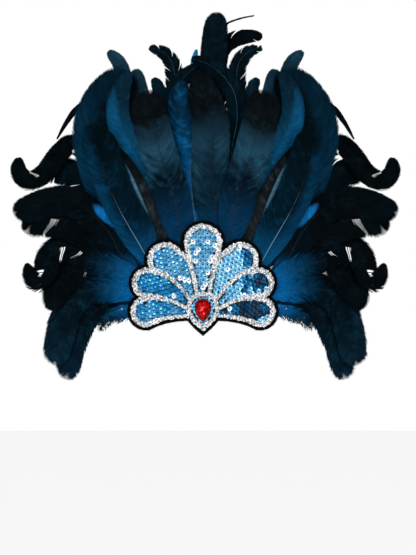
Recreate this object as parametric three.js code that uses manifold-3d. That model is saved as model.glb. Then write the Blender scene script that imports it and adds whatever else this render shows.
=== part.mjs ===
// Showgirl feather headdress: a tall fan of dyed rooster plumes stands behind a sequinned shell
// applique with seven scallops and a red stone, and a black elastic loop goes round the head.
// Millimetres, +Z up. The sequinned face looks towards -Y. The origin is the centre of the head
// loop at half its height. In the tables a point is [out, up]: out counts sideways from the line
// that the fan opens from, up counts from the origin, and a table of one side serves both.

import * as THREE from 'three';
import { mergeVertices } from 'three/addons/utils/BufferGeometryUtils.js';
import Module from 'manifold-3d';

const wasm = await Module();
wasm.setup();

// Driving sizes
const GAP = 0.3;
const STRAP = { wall: 1.6, height: 25, front: 95.6, flatHalf: 50, backSegments: 9 };
const QUILL = { half: 1.1, bare: 24, ridge: 1.4, edge: 0.8, cup: 0.04, socketEnd: 0.4 };
const LAYERS = { count: 8, pitch: 2.6, lean: 0.0003, leanFrom: 40, bloom: 0.00021, bloomFrom: 60 };
const PAD = { wall: 1.2, half: 64, rise: 50, drop: 18, corner: 8, segments: 12 };
const FAN_SHIFT = 2.7;
const FOLD = { places: [12, 36, 60], slope: 0.11, straightFrom: 72 };
const FELT = { thick: 2, margin: 3.9 };
const FIELD = { low: 2.3, high: 3.5 };
const TRIM = { low: 2.3, shoulder: 3.6, high: 4.5, lobeHalf: 2.8, ribHalf: 2 };
const STONE = { centre: [0, -8], half: 9, head: 9.5, foot: 16, taper: 1.5, sides: 16 };
const STONE_RINGS = [{ height: 3.8, scale: 0.9 }, { height: 5.4, scale: 1 }, { height: 7.6, scale: 0.82 },
  { height: 9.3, scale: 0.56 }];

// Places along Y, from the loop forwards
const PAD_THICK = (LAYERS.count - 1) * LAYERS.pitch + QUILL.ridge + 2 * PAD.wall;
const PAD_BACK_Y = -STRAP.front - GAP;
const PAD_MIDDLE_Y = PAD_BACK_Y - PAD_THICK / 2;
const FELT_BACK_Y = PAD_BACK_Y - PAD_THICK - GAP;

// How the width of a blade closes at its tip: width = (1 - v ^ power) ^ root
const TIPS = {
  round: { power: 3, root: 0.55 },
  blunt: { power: 7, root: 0.5 },
  point: { power: 1.6, root: 0.8 },
};
const BASE_STATIONS = [0, 0.13];
const TIP_STATIONS = [0.86, 0.94, 0.985, 1];
const OPENING_POWER = 0.8;
const CURL = { room: 0.8, step: 0.02, leastTurn: 1e-4 };
const MERGE_DISTANCE = 1e-4;
const SHARPEST_MITER = 0.45;
const RINGS = { turning: 32, length: 90, samples: 100, tailFree: 6 };

// Plumes that stand on both sides. halves gives the blade's width beyond its quill on the outer
// or lower side and on the other one, layer counts from the front, and swell is the share of the
// blade in which it opens to its full width.
const SIDE_PLUMES = [
  { name: 'outer_broad', layer: 0, halves: [16, 25], tip: 'blunt', swell: 0.32, dye: 'blue',
    points: [[45, 9], [67, 51], [100, 110], [118, 160], [124, 182], [124, 195]] },
  { name: 'inner_broad', layer: 0, halves: [22, 19], tip: 'blunt', swell: 0.32, dye: 'teal',
    points: [[19, 28], [28, 77], [34, 110], [51, 166], [61, 208], [62, 232]] },
  { name: 'short_dark', layer: 1, halves: [16, 14], tip: 'point', swell: 0.3, dye: 'brown',
    points: [[36, 20], [56, 83], [72, 121], [85, 149], [103, 175]] },
  { name: 'wing_upper', layer: 1, halves: [19, 16], tip: 'blunt', swell: 0.4, dye: 'ink',
    points: [[47, 4], [89, 42], [105, 72], [124, 94], [147, 110], [172, 110], [194, 103], [215, 97]] },
  { name: 'twisted', layer: 2, halves: [17, 12], tip: 'round', swell: 0.3, dye: 'blue',
    points: [[33, 16], [47, 66], [63, 121], [76, 160], [92, 193], [95, 215], [90, 237], [83, 252]] },
  { name: 'wing_lower', layer: 2, halves: [22, 15], tip: 'blunt', swell: 0.4, dye: 'ink',
    points: [[47, 2], [89, 35], [116, 66], [144, 84], [170, 90], [188, 88], [203, 75]] },
  { name: 'arched_broad', layer: 3, halves: [28, 24], tip: 'blunt', swell: 0.3, dye: 'teal',
    points: [[43, 12], [88, 88], [114, 150], [121, 185], [117, 206], [108, 221], [96, 236], [82, 253]] },
  { name: 'curl_upper', layer: 3, halves: [19, 16], tip: 'round', swell: 0.35, dye: 'ink',
    points: [[48, 0], [94, 24], [127, 48], [156, 59], [173, 51], [181, 30], [188, 21], [194, 26], [200, 41]] },
  { name: 'blunt', layer: 4, halves: [14, 12], tip: 'blunt', swell: 0.35, dye: 'teal',
    points: [[20, 22], [43, 110], [59, 176], [70, 215], [75, 235], [77, 257]] },
  { name: 'whip', layer: 4, halves: [9, 8], tip: 'point', swell: 0.3, dye: 'ink',
    points: [[43, 12], [96, 99], [114, 165], [119, 200], [131, 218], [144, 212], [155, 198], [166, 179]] },
  { name: 'curl_lower', layer: 4, halves: [20, 18], tip: 'round', swell: 0.35, dye: 'ink',
    points: [[48, -3], [94, 15], [122, 30], [149, 31], [164, 17], [170, 0], [168, -13]] },
  { name: 'horn', layer: 5, halves: [9.5, 9.5], tip: 'blunt', swell: 0.4, dye: 'ink',
    points: [[36, 20], [61, 110], [83, 187], [89, 231], [91, 249], [97, 265], [109, 278]] },
  { name: 'hook', layer: 5, halves: [13, 11], tip: 'blunt', swell: 0.4, dye: 'ink',
    points: [[46, 8], [94, 77], [118, 132], [132, 165], [150, 175], [166, 162], [182, 141],
      [198, 134], [208, 142], [210, 160]] },
  { name: 'ragged', layer: 5, halves: [13, 11], tip: 'blunt', swell: 0.4, dye: 'teal',
    points: [[11, 26], [23, 110], [31, 176], [35, 220], [34, 246], [38, 265], [48, 276], [63, 281]] },
  { name: 'drooping_outer', layer: 5, halves: [17, 18], tip: 'blunt', swell: 0.4, dye: 'ink',
    points: [[48, -6], [89, 10], [118, 15], [141, 4], [155, -17], [162, -42], [167, -74]] },
  { name: 'gapped', layer: 6, halves: [17, 18], tip: 'blunt', swell: 0.4, dye: 'blue',
    points: [[46, 8], [105, 94], [125, 123], [138, 134], [151, 141], [163, 141], [176, 134]] },
  { name: 'notched', layer: 6, halves: [9, 9], tip: 'blunt', swell: 0.5, dye: 'blue',
    points: [[13, 22], [30, 110], [45, 187], [50, 220], [53, 237], [59, 247]] },
  { name: 'drooping_inner', layer: 6, halves: [14, 18], tip: 'blunt', swell: 0.4, dye: 'ink',
    points: [[47, -9], [83, 0], [108, -4], [129, -19], [142, -42], [150, -66], [154, -90]] },
];

// Locks of the fluffy hackle tuft at each side, joined at their quills
const TUFT_LOCKS = [
  { layer: 0, halves: [15, 15], tip: 'round', swell: 0.6, points: [[47, -2], [85, 26], [111, 38], [134, 44]] },
  { layer: 0, halves: [16, 16], tip: 'round', swell: 0.6, points: [[47, -2], [85, 9], [112, 13], [138, 10]] },
  { layer: 0, halves: [7, 7], tip: 'round', swell: 0.5, points: [[47, -2], [83, -10], [104, -18], [119, -34]] },
  { layer: 0, halves: [6, 6], tip: 'round', swell: 0.5, points: [[47, -2], [85, -15], [107, -24]] },
];

// Plumes that stand once, near the middle. Here out counts to the right.
const MIDDLE_PLUMES = [
  { name: 'middle_front', layer: 1, halves: [18, 17], tip: 'round', swell: 0.32, dye: 'teal',
    points: [[9, 27], [13, 89], [8, 129], [8, 165], [8, 197], [1, 222], [-8, 253]] },
  { name: 'middle_blue', layer: 2, halves: [17, 17], tip: 'round', swell: 0.25, dye: 'blue',
    points: [[-3, 27], [-12, 89], [-16, 132], [-18.5, 170], [-25, 200], [-28, 222], [-24, 242]] },
  { name: 'crossing_right', layer: 3, halves: [12, 12], tip: 'round', swell: 0.9, dye: 'teal',
    points: [[11, 26], [23, 99], [30, 172], [35, 200], [32, 228], [20, 247], [4, 260], [-16, 267]] },
  { name: 'crossing_left', layer: 4, halves: [12, 12], tip: 'round', swell: 0.9, dye: 'teal',
    points: [[-10, 26], [-23, 99], [-33, 165], [-37, 197], [-36, 227], [-25, 245], [-6, 262]] },
  { name: 'crest', layer: 5, halves: [15.5, 16], tip: 'blunt', swell: 0.8, dye: 'ink',
    points: [[2, 27], [4, 110], [6, 198], [8, 248], [10, 274], [12, 299], [13, 321]] },
  { name: 'crest_barred', layer: 6, halves: [10, 10], tip: 'round', swell: 0.7, dye: 'ink',
    points: [[9, 27], [14, 110], [15, 198], [14, 248], [18, 278], [31, 290], [47, 294], [64, 295]] },
  { name: 'crest_blue', layer: 6, halves: [5, 5], tip: 'round', swell: 0.5, dye: 'blue',
    points: [[-4, 27], [-3, 165], [-6, 231], [-11, 262], [-10, 279]] },
  { name: 'crest_spike', layer: 7, halves: [1.8, 1.8], tip: 'point', swell: 0.5, dye: 'ink',
    points: [[4, 27], [9, 110], [10, 198], [9, 253], [13, 290], [23, 308], [38, 315], [55, 319]] },
];

// Scallops of the applique: the middle line of the silver trim is an arc with a curved rib at
// each end. Angles are in degrees, and each rib runs by way of its bow point to its inner end.
const SCALLOPS = [
  { name: 'centre', both: false, centre: [0, 62.8], radius: 18.2, from: -20, to: 200,
    first: { bow: [12.4, 36], inner: [6.5, 6.7] }, last: { bow: [-12.4, 36], inner: [-6.5, 6.7] } },
  { name: 'upper', both: true, centre: [41.5, 43.7], radius: 17, from: -40, to: 140,
    first: { bow: [33, 29], inner: [14.7, 0.7] }, last: { bow: [11, 46], inner: [6.5, 6.7] } },
  { name: 'middle', both: true, centre: [61.3, 18.6], radius: 14.2, from: -75, to: 110,
    first: { bow: [40, 4.5], inner: [17, -9.5] }, last: { bow: [34, 30], inner: [14.7, 0.7] } },
  { name: 'lower', both: true, centre: [63, -13], radius: 14.1, from: -100, to: 75,
    first: { bow: [45, -18], inner: [15.5, -17] }, last: { bow: [42, 7], inner: [17, -9.5] } },
];
const MEDALLION = { centre: [0, -9], radius: 16, from: -20, to: 200, bow: [10.5, -23], foot: [0, -31.5],
  half: 2.3 };
const ARC_STEPS = 10;
const RIB_STEPS = 4;

// Right half of the head loop behind the stretch that lies on the pad
const LOOP_SIDE = [[66, -75], [75, -49], [77.5, -10], [74, 28], [61, 63], [34, 87], [0, 95.6]];

// Finishes
const DYES = {
  ink: { color: 0x07161c, roughness: 0.62 },
  teal: { color: 0x0b3c50, roughness: 0.6 },
  blue: { color: 0x0a5f8f, roughness: 0.6 },
  brown: { color: 0x2a2a2c, roughness: 0.65 },
  tuft: { color: 0x0b6fa8, roughness: 0.8 },
};
const FINISHES = {
  elastic: { color: 0x101012, roughness: 0.9 },
  felt: { color: 0x0b0b0d, roughness: 0.95 },
  sequin: { color: 0x55a9dc, roughness: 0.3, metalness: 0.3 },
  silver: { color: 0xd5dadd, roughness: 0.3, metalness: 0.7 },
  ruby: { color: 0xb8000c, roughness: 0.05, metalness: 0 },
};

// The crown is bent round the head: its face falls back at a few folds, and the plumes follow
// a smooth line through the same bend.
function foldedBend(x) {
  const past = FOLD.places.map((fold) => Math.max(0, Math.abs(x) - fold));
  return FOLD.slope * past.reduce((sum, length) => sum + length, 0);
}

function smoothBend(x) {
  const slope = FOLD.slope * FOLD.places.length;
  const side = Math.abs(x);
  if (side < FOLD.straightFrom) return (slope * side * side) / (2 * FOLD.straightFrom);
  return slope * (side - FOLD.straightFrom / 2);
}

// Depth of a layer of plumes. The layers lean back together and open away from each other.
function layerDepth(layer, x, z) {
  const reach = Math.hypot(x, z);
  const place = layer - (LAYERS.count - 1) / 2;
  const lean = LAYERS.lean * Math.max(0, reach - LAYERS.leanFrom) ** 2;
  const bloom = LAYERS.bloom * Math.max(0, reach - LAYERS.bloomFrom) ** 2;
  return PAD_MIDDLE_Y + smoothBend(x) + place * (LAYERS.pitch + bloom) + lean;
}

// Solids
function signedVolume(positions, index) {
  let sum = 0;
  const corner = (i) => new THREE.Vector3().fromArray(positions, 3 * index[i]);
  for (let i = 0; i < index.length; i += 3) sum += corner(i).dot(corner(i + 1).cross(corner(i + 2)));
  return sum / 6;
}

function closedGeometry(positions, index) {
  if (signedVolume(positions, index) < 0) index.reverse();
  const geometry = new THREE.BufferGeometry();
  geometry.setAttribute('position', new THREE.Float32BufferAttribute(positions, 3));
  geometry.setIndex(index);
  return geometry;
}

// Joins rings of equal size into one closed skin, with flat ends or in a loop
function loft(rings, inLoop = false) {
  const size = rings[0].length;
  const positions = rings.flat().flatMap((point) => point.toArray());
  const index = [];
  const spans = inLoop ? rings.length : rings.length - 1;
  for (let i = 0; i < spans; i++) {
    const start = i * size;
    const end = ((i + 1) % rings.length) * size;
    for (let j = 0; j < size; j++) {
      const next = (j + 1) % size;
      index.push(start + j, start + next, end + next, start + j, end + next, end + j);
    }
  }
  const last = (rings.length - 1) * size;
  for (let j = 1; j < size - 1 && !inLoop; j++) {
    index.push(0, j + 1, j, last, last + j, last + j + 1);
  }
  return closedGeometry(positions, index);
}

function solidOf(geometry) {
  const bare = new THREE.BufferGeometry();
  bare.setAttribute('position', geometry.getAttribute('position').clone());
  if (geometry.index) bare.setIndex(geometry.index.clone());
  const merged = mergeVertices(bare, MERGE_DISTANCE);
  const vertProperties = new Float32Array(merged.getAttribute('position').array);
  const triVerts = new Uint32Array(merged.index.array);
  return new wasm.Manifold(new wasm.Mesh({ numProp: 3, vertProperties, triVerts }));
}

function geometryOf(solid) {
  const { vertProperties, triVerts } = solid.getMesh();
  return closedGeometry(Array.from(vertProperties), Array.from(triVerts));
}

function join(solids) {
  return solids.reduce((whole, solid) => whole.add(solid)).asOriginal();
}

// A flat plate with its outline in the XZ plane, from one height to another towards -Y
function plate(outline, low, high) {
  const shape = new THREE.Shape(outline);
  const geometry = new THREE.ExtrudeGeometry(shape, { depth: high - low, bevelEnabled: false });
  geometry.rotateX(Math.PI / 2).translate(0, -low, 0);
  return solidOf(geometry);
}

// Bends a flat body at the folds, and moves it to its place along Y. The body is cut into strips
// at the folds, each strip is sheared as its stretch of the crown is, and the strips are joined.
function bendBody(solid, y) {
  const folds = FOLD.places.flatMap((fold) => [-fold, fold]).sort((a, b) => a - b);
  const strips = [-Infinity, ...folds].map((left, i) => {
    const right = folds[i] ?? Infinity;
    let strip = solid;
    if (left > -Infinity) strip = strip.trimByPlane([1, 0, 0], left);
    if (right < Infinity) strip = strip.trimByPlane([-1, 0, 0], -right);
    const { vertProperties, triVerts } = strip.getMesh();
    for (let j = 0; j < vertProperties.length; j += 3) vertProperties[j + 1] += y + foldedBend(vertProperties[j]);
    return new wasm.Manifold(new wasm.Mesh({ numProp: 3, vertProperties, triVerts }));
  });
  return join(strips.filter((strip) => !strip.isEmpty()));
}

// Plumes
function spineOf(row, side) {
  const at = ([out, up]) => new THREE.Vector3(FAN_SHIFT + side * out, 0, up);
  return new THREE.CatmullRomCurve3(row.points.map(at), false, 'centripetal');
}

// Rings stand at the quill's root, where the blade starts, along it, and closer at its tip.
// Along it they follow each other after a stretch of length or of turning, so a curl gets more.
function stationsOf(spine) {
  const bare = QUILL.bare / spine.getLength();
  const stations = [0, ...BASE_STATIONS.map((share) => bare + (1 - bare) * share)];
  const first = stations.at(-1);
  const { samples, tailFree } = RINGS;
  const place = (i) => THREE.MathUtils.lerp(first, bare + (1 - bare) * TIP_STATIONS[0], i / samples);
  let passed = 0;
  for (let i = 0; i < samples; i++) {
    const turning = spine.getTangentAt(place(i)).angleTo(spine.getTangentAt(place(i + 1)));
    const length = (place(i + 1) - place(i)) * spine.getLength();
    passed += THREE.MathUtils.radToDeg(turning) / RINGS.turning + length / RINGS.length;
    if (passed < 1 || i > samples - tailFree) continue;
    stations.push(place(i + 1));
    passed = 0;
  }
  return [...stations, ...TIP_STATIONS.map((share) => bare + (1 - bare) * share)];
}

// Width of a blade beyond its quill, for a full width of half
function widthAt(row, half, share) {
  const tip = TIPS[row.tip];
  const rise = Math.sin((Math.min(1, share / row.swell) * Math.PI) / 2) ** OPENING_POWER;
  const close = (1 - Math.min(1, share) ** tip.power) ** tip.root;
  return QUILL.half + (half - QUILL.half) * rise * close;
}

// Signed radius of the spine's bend, positive where it turns towards its own right
function bendRadius(spine, station) {
  const { step, leastTurn } = CURL;
  const before = spine.getTangentAt(Math.max(0, station - step));
  const after = spine.getTangentAt(Math.min(1, station + step));
  const turn = before.x * after.z - before.z * after.x;
  const travelled = 2 * step * spine.getLength();
  return Math.abs(turn) < leastTurn ? Infinity : -travelled / turn;
}

// Places a section, given as [across, deep] from the quill's middle line, at a station
function placeSection(row, spine, station, section) {
  const point = spine.getPointAt(station);
  const tangent = spine.getTangentAt(station);
  return section.map(([across, deep]) => {
    const x = point.x + across * tangent.z;
    const z = point.z - across * tangent.x;
    const y = layerDepth(row.layer, x, z) + QUILL.cup * Math.abs(across) + deep;
    return new THREE.Vector3(x, y, z);
  });
}

// The blade's reach to the left and right of its quill. On the inside of a tight curl the blade
// narrows, so that it doesn't run through itself.
function reachOf(row, spine, side, station) {
  const bare = QUILL.bare / spine.getLength();
  const share = Math.max(0, (station - bare) / (1 - bare));
  const [outer, inner] = row.halves.map((half) => widthAt(row, half, share));
  const radius = bendRadius(spine, station);
  const room = CURL.room * Math.abs(radius);
  const right = side > 0 ? outer : inner;
  const left = side > 0 ? inner : outer;
  return { right: radius > 0 ? Math.min(right, room) : right, left: radius < 0 ? Math.min(left, room) : left };
}

// A ring across a plume has a thin edge at each side and a ridge on each face
function plume(row, side) {
  const spine = spineOf(row, side);
  const edge = QUILL.edge / 2;
  const ridge = QUILL.ridge / 2;
  return loft(stationsOf(spine).map((station) => {
    const { left, right } = reachOf(row, spine, side, station);
    return placeSection(row, spine, station,
      [[-left, edge], [-left, -edge], [0, -ridge], [right, -edge], [right, edge], [0, ridge]]);
  }));
}

// The space that a plume's quill takes in the pad, a little longer than the quill itself
function socket(row, side) {
  const spine = spineOf(row, side);
  const deep = QUILL.ridge / 2 + GAP;
  const rings = stationsOf(spine).slice(0, 3).map((station) => {
    const reach = reachOf(row, spine, side, station);
    const left = reach.left + GAP;
    const right = reach.right + GAP;
    return placeSection(row, spine, station, [[-left, deep], [-left, -deep], [right, -deep], [right, deep]]);
  });
  const back = rings[0][0].clone().sub(rings[1][0]).setLength(QUILL.socketEnd);
  rings[0] = rings[0].map((point) => point.clone().add(back));
  return solidOf(loft(rings));
}

// The pad that the quills stand in
function quillPad(sockets) {
  const outline = new THREE.Shape();
  outline.moveTo(PAD.half - PAD.corner, -PAD.drop);
  outline.quadraticCurveTo(PAD.half, -PAD.drop, PAD.half, PAD.corner - PAD.drop);
  outline.absellipse(0, 0, PAD.half, PAD.rise, 0, Math.PI);
  outline.lineTo(-PAD.half, PAD.corner - PAD.drop);
  outline.quadraticCurveTo(-PAD.half, -PAD.drop, PAD.corner - PAD.half, -PAD.drop);
  const body = plate(outline.getPoints(PAD.segments), 0, PAD_THICK);
  return bendBody(body, PAD_BACK_Y).subtract(join(sockets));
}

// The elastic loop: flat against the back of the pad, then round the head
function headLoop() {
  const rest = new THREE.SplineCurve(
    [[STRAP.flatHalf, foldedBend(STRAP.flatHalf) - STRAP.front], ...LOOP_SIDE].map(
      ([x, y]) => new THREE.Vector2(x, y)));
  const flat = FOLD.places.filter((fold) => fold < STRAP.flatHalf);
  const right = [...flat.map((x) => new THREE.Vector2(x, foldedBend(x) - STRAP.front)),
    ...rest.getPoints(STRAP.backSegments * 2)];
  const left = right.slice(0, -1).reverse().map((point) => new THREE.Vector2(-point.x, point.y));
  const line = [...right, ...left];
  const rings = line.map((point, i) => {
    const before = line[(i + line.length - 1) % line.length];
    const after = line[(i + 1) % line.length];
    const inward = miter(before, point, after).multiplyScalar(STRAP.wall);
    const inner = point.clone().add(inward);
    const half = STRAP.height / 2;
    return [[point, -half], [point, half], [inner, half], [inner, -half]].map(
      ([at, z]) => new THREE.Vector3(at.x, at.y, z));
  });
  return loft(rings, true);
}

// Left-hand offset of one unit at a corner of a line, longer where the line turns
function miter(before, point, after) {
  const first = point.clone().sub(before).normalize();
  const second = after.clone().sub(point).normalize();
  if (first.lengthSq() === 0) first.copy(second);
  if (second.lengthSq() === 0) second.copy(first);
  const normal = first.clone().add(second).normalize();
  const stretch = Math.max(SHARPEST_MITER, normal.dot(first));
  return new THREE.Vector2(-normal.y, normal.x).divideScalar(stretch);
}

// Applique
function arcPoints({ centre, radius, from, to }) {
  return Array.from({ length: ARC_STEPS + 1 }, (_, i) => {
    const angle = THREE.MathUtils.degToRad(from + ((to - from) * i) / ARC_STEPS);
    return new THREE.Vector2(centre[0] + radius * Math.cos(angle), centre[1] + radius * Math.sin(angle));
  });
}

function ribPoints(start, bow, end) {
  const curve = new THREE.QuadraticBezierCurve(start, new THREE.Vector2(...bow), new THREE.Vector2(...end));
  return curve.getPoints(RIB_STEPS).slice(1);
}

// The trim's middle line round a scallop, with its half width at each point
function scallopLine(row) {
  const arc = arcPoints(row);
  const first = ribPoints(arc[0], row.first.bow, row.first.inner).reverse();
  const last = ribPoints(arc.at(-1), row.last.bow, row.last.inner);
  const narrowing = (i) => THREE.MathUtils.lerp(TRIM.lobeHalf, TRIM.ribHalf, Math.min(1, (i + 1) / 3));
  const halves = [
    ...first.map((_, i) => narrowing(RIB_STEPS - 1 - i)),
    ...arc.map(() => TRIM.lobeHalf),
    ...last.map((_, i) => narrowing(i)),
  ];
  return { points: [...first, ...arc, ...last], halves, inLoop: false };
}

function medallionLine() {
  const arc = arcPoints(MEDALLION);
  const [bowX, bowZ] = MEDALLION.bow;
  const left = ribPoints(arc.at(-1), [-bowX, bowZ], MEDALLION.foot);
  const right = ribPoints(arc[0], [bowX, bowZ], MEDALLION.foot).reverse();
  const points = [...arc, ...left, ...right.slice(1)];
  return { points, halves: points.map(() => MEDALLION.half), inLoop: true };
}

function mirrored(line) {
  const points = line.points.map((point) => new THREE.Vector2(-point.x, point.y)).reverse();
  return { points, halves: [...line.halves].reverse(), inLoop: line.inLoop };
}

// A raised band along a line. section gives [share of the half width, height] round the band.
function band(line, grow, section) {
  const { points, halves, inLoop } = line;
  const count = points.length;
  const rings = points.map((point, i) => {
    const before = inLoop ? points[(i + count - 1) % count] : points[Math.max(0, i - 1)];
    const after = inLoop ? points[(i + 1) % count] : points[Math.min(count - 1, i + 1)];
    const offset = miter(before, point, after).multiplyScalar(halves[i] + grow);
    return section.map(([share, height]) =>
      new THREE.Vector3(point.x + share * offset.x, -height, point.y + share * offset.y));
  });
  return solidOf(loft(rings, inLoop));
}

const SLAB = (low, high) => [[-1, low], [-1, high], [1, high], [1, low]];
const ROOF = [[-1, TRIM.low], [-1, TRIM.shoulder], [0, TRIM.high], [1, TRIM.shoulder], [1, TRIM.low]];

// The outline of a scallop with its trim and a margin of felt
function feltOutline({ points, halves }) {
  const count = points.length;
  return points.map((point, i) => {
    const outward = miter(points[(i + count - 1) % count], point, points[(i + 1) % count]);
    return point.clone().addScaledVector(outward, -(halves[i] + FELT.margin));
  });
}

// The red stone: a pear with a table, its point down
function stone() {
  const rings = STONE_RINGS.map(({ height, scale }) => Array.from({ length: STONE.sides }, (_, i) => {
    const angle = (2 * Math.PI * i) / STONE.sides;
    const across = Math.cos(angle);
    const up = Math.sin(angle);
    const x = STONE.half * (up < 0 ? Math.sign(across) * Math.abs(across) ** STONE.taper : across);
    const z = up * (up < 0 ? STONE.foot : STONE.head);
    return new THREE.Vector3(STONE.centre[0] + scale * x, -height, STONE.centre[1] + scale * z);
  }));
  return solidOf(loft(rings));
}

// Assembly
const group = new THREE.Group();

function addPiece(name, geometry, finish) {
  const mesh = new THREE.Mesh(geometry, new THREE.MeshStandardMaterial(finish));
  mesh.name = name;
  group.add(mesh);
}

const SIDES = [{ label: 'left', sign: -1 }, { label: 'right', sign: 1 }];
const sockets = [];

for (const { label, sign } of SIDES) {
  for (const row of SIDE_PLUMES) {
    addPiece(`${row.name}_${label}`, plume(row, sign), DYES[row.dye]);
    sockets.push(socket(row, sign));
  }
  const locks = TUFT_LOCKS.map((row) => solidOf(plume(row, sign)));
  addPiece(`hackle_tuft_${label}`, geometryOf(join(locks)), DYES.tuft);
  sockets.push(...TUFT_LOCKS.map((row) => socket(row, sign)));
}
for (const row of MIDDLE_PLUMES) {
  addPiece(row.name, plume(row, 1), DYES[row.dye]);
  sockets.push(socket(row, 1));
}
addPiece('quill_pad', geometryOf(quillPad(sockets)), FINISHES.felt);
addPiece('head_strap', headLoop(), FINISHES.elastic);

const scallops = SCALLOPS.flatMap((row) => {
  const line = scallopLine(row);
  if (!row.both) return [{ name: `petal_${row.name}`, line }];
  return [{ name: `petal_${row.name}_right`, line }, { name: `petal_${row.name}_left`, line: mirrored(line) }];
});
const fields = [...scallops, { name: 'medallion', line: medallionLine() }];

const felt = join(fields.map(({ line }) => plate(feltOutline(line), 0, FELT.thick)));
addPiece('felt_backing', geometryOf(bendBody(felt, FELT_BACK_Y)), FINISHES.felt);

const trim = join(fields.map(({ line }) => band(line, 0, ROOF)));
addPiece('silver_trim', geometryOf(bendBody(trim, FELT_BACK_Y)), FINISHES.silver);

const trimSpace = join(fields.map(({ line }) => band(line, GAP, SLAB(FIELD.low - 1, FIELD.high + 1))));
for (const { name, line } of fields) {
  const field = plate(line.points, FIELD.low, FIELD.high).subtract(trimSpace);
  addPiece(name, geometryOf(bendBody(field, FELT_BACK_Y)), FINISHES.sequin);
}
addPiece('red_stone', geometryOf(bendBody(stone(), FELT_BACK_Y)), FINISHES.ruby);

export default group;
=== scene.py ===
"""Looks of a showgirl feather headdress: dyed rooster plumes, sequin applique, stone, pad and strap.

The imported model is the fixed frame. Plumes are grown barb by barb along the same lines that the
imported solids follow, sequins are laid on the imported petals, and every surface gets its finish.
Sizes are in metres, apart from the widths and points in the tables of plumes and the points of the
head loop, which are in millimetres.
"""
import logging
import math
from dataclasses import dataclass, replace
from enum import Enum
from typing import Callable, Iterator, Mapping, Sequence, Union

import bmesh
import bpy
import numpy as np
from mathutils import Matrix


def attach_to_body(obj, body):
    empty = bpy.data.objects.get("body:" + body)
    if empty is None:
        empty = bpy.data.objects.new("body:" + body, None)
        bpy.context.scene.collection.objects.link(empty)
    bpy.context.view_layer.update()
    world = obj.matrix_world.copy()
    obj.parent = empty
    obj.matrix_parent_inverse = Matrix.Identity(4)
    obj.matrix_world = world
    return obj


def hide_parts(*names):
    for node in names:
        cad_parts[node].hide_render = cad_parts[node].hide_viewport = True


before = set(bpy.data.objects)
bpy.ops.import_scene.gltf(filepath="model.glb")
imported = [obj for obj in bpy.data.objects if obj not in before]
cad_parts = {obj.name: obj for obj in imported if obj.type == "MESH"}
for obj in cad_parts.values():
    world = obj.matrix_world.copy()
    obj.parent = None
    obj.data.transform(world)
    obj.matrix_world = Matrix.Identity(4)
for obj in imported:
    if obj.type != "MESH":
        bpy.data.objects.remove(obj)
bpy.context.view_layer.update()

LOG = logging.getLogger("headdress")
MM = 0.001
BODY = "root"
SIDES = {"left": -1, "right": 1}
CROWN_MIDDLE = (0.0, -0.08, 0.1)
FAN_SHIFT = 0.0027
QUILL_HALF = 0.0007
QUILL_BARE = 0.024

Value = Union["Field", float]
Socket = bpy.types.NodeSocket
Pair = tuple[float, float]


def dye(code: str) -> tuple[float, float, float, float]:
    """Turns a colour written as six hex digits into linear red, green, blue and alpha.

    Args:
        code: The colour as it looks on a screen, such as "0a62a5".

    Returns:
        The four linear values that a shader socket takes.
    """
    shares = [int(code[i:i + 2], 16) / 255 for i in (0, 2, 4)]
    red, green, blue = [share / 12.92 if share <= 0.04045 else ((share + 0.055) / 1.055) ** 2.4
                        for share in shares]
    return (red, green, blue, 1.0)


# Node trees

def titled(inputs: Mapping[str, object]) -> dict[str, object]:
    """Turns keywords such as fill_caps into the names of inputs, such as Fill Caps."""
    return {label.replace("_", " ").title(): value for label, value in inputs.items()}


def reckoned(operation: str, swapped: bool = False) -> Callable[["Field", Value], "Field"]:
    """Makes the method for one kind of reckoning with two values.

    Args:
        operation: The Math node's operation.
        swapped: Whether the field is the second of the two values.

    Returns:
        The method.
    """
    def step(self: "Field", other: Value) -> "Field":
        """Adds the Math node."""
        return self.graph.math(operation, *((other, self) if swapped else (self, other)))
    return step


@dataclass
class Field:
    """A value in a node tree. Reckoning with it adds a Math node for each step."""

    graph: "Graph"
    socket: Socket

    __add__ = reckoned("ADD")
    __radd__ = reckoned("ADD", swapped=True)
    __sub__ = reckoned("SUBTRACT")
    __rsub__ = reckoned("SUBTRACT", swapped=True)
    __mul__ = reckoned("MULTIPLY")
    __rmul__ = reckoned("MULTIPLY", swapped=True)
    __truediv__ = reckoned("DIVIDE")
    __rtruediv__ = reckoned("DIVIDE", swapped=True)
    __pow__ = reckoned("POWER")
    __mod__ = reckoned("FLOORED_MODULO")
    least = reckoned("MINIMUM")
    most = reckoned("MAXIMUM")

    def size(self) -> "Field":
        """The value without its sign."""
        return self.graph.math("ABSOLUTE", self)

    def whole(self) -> "Field":
        """The whole number at or below the value."""
        return self.graph.math("FLOOR", self)

    def held(self) -> "Field":
        """The value kept between 0 and 1."""
        return self.least(1.0).most(0.0)

    def swing(self, amount: Value) -> "Field":
        """A value from 0 to 1, turned into one that goes half an amount to either side of 0."""
        return (self - 0.5) * amount


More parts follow.
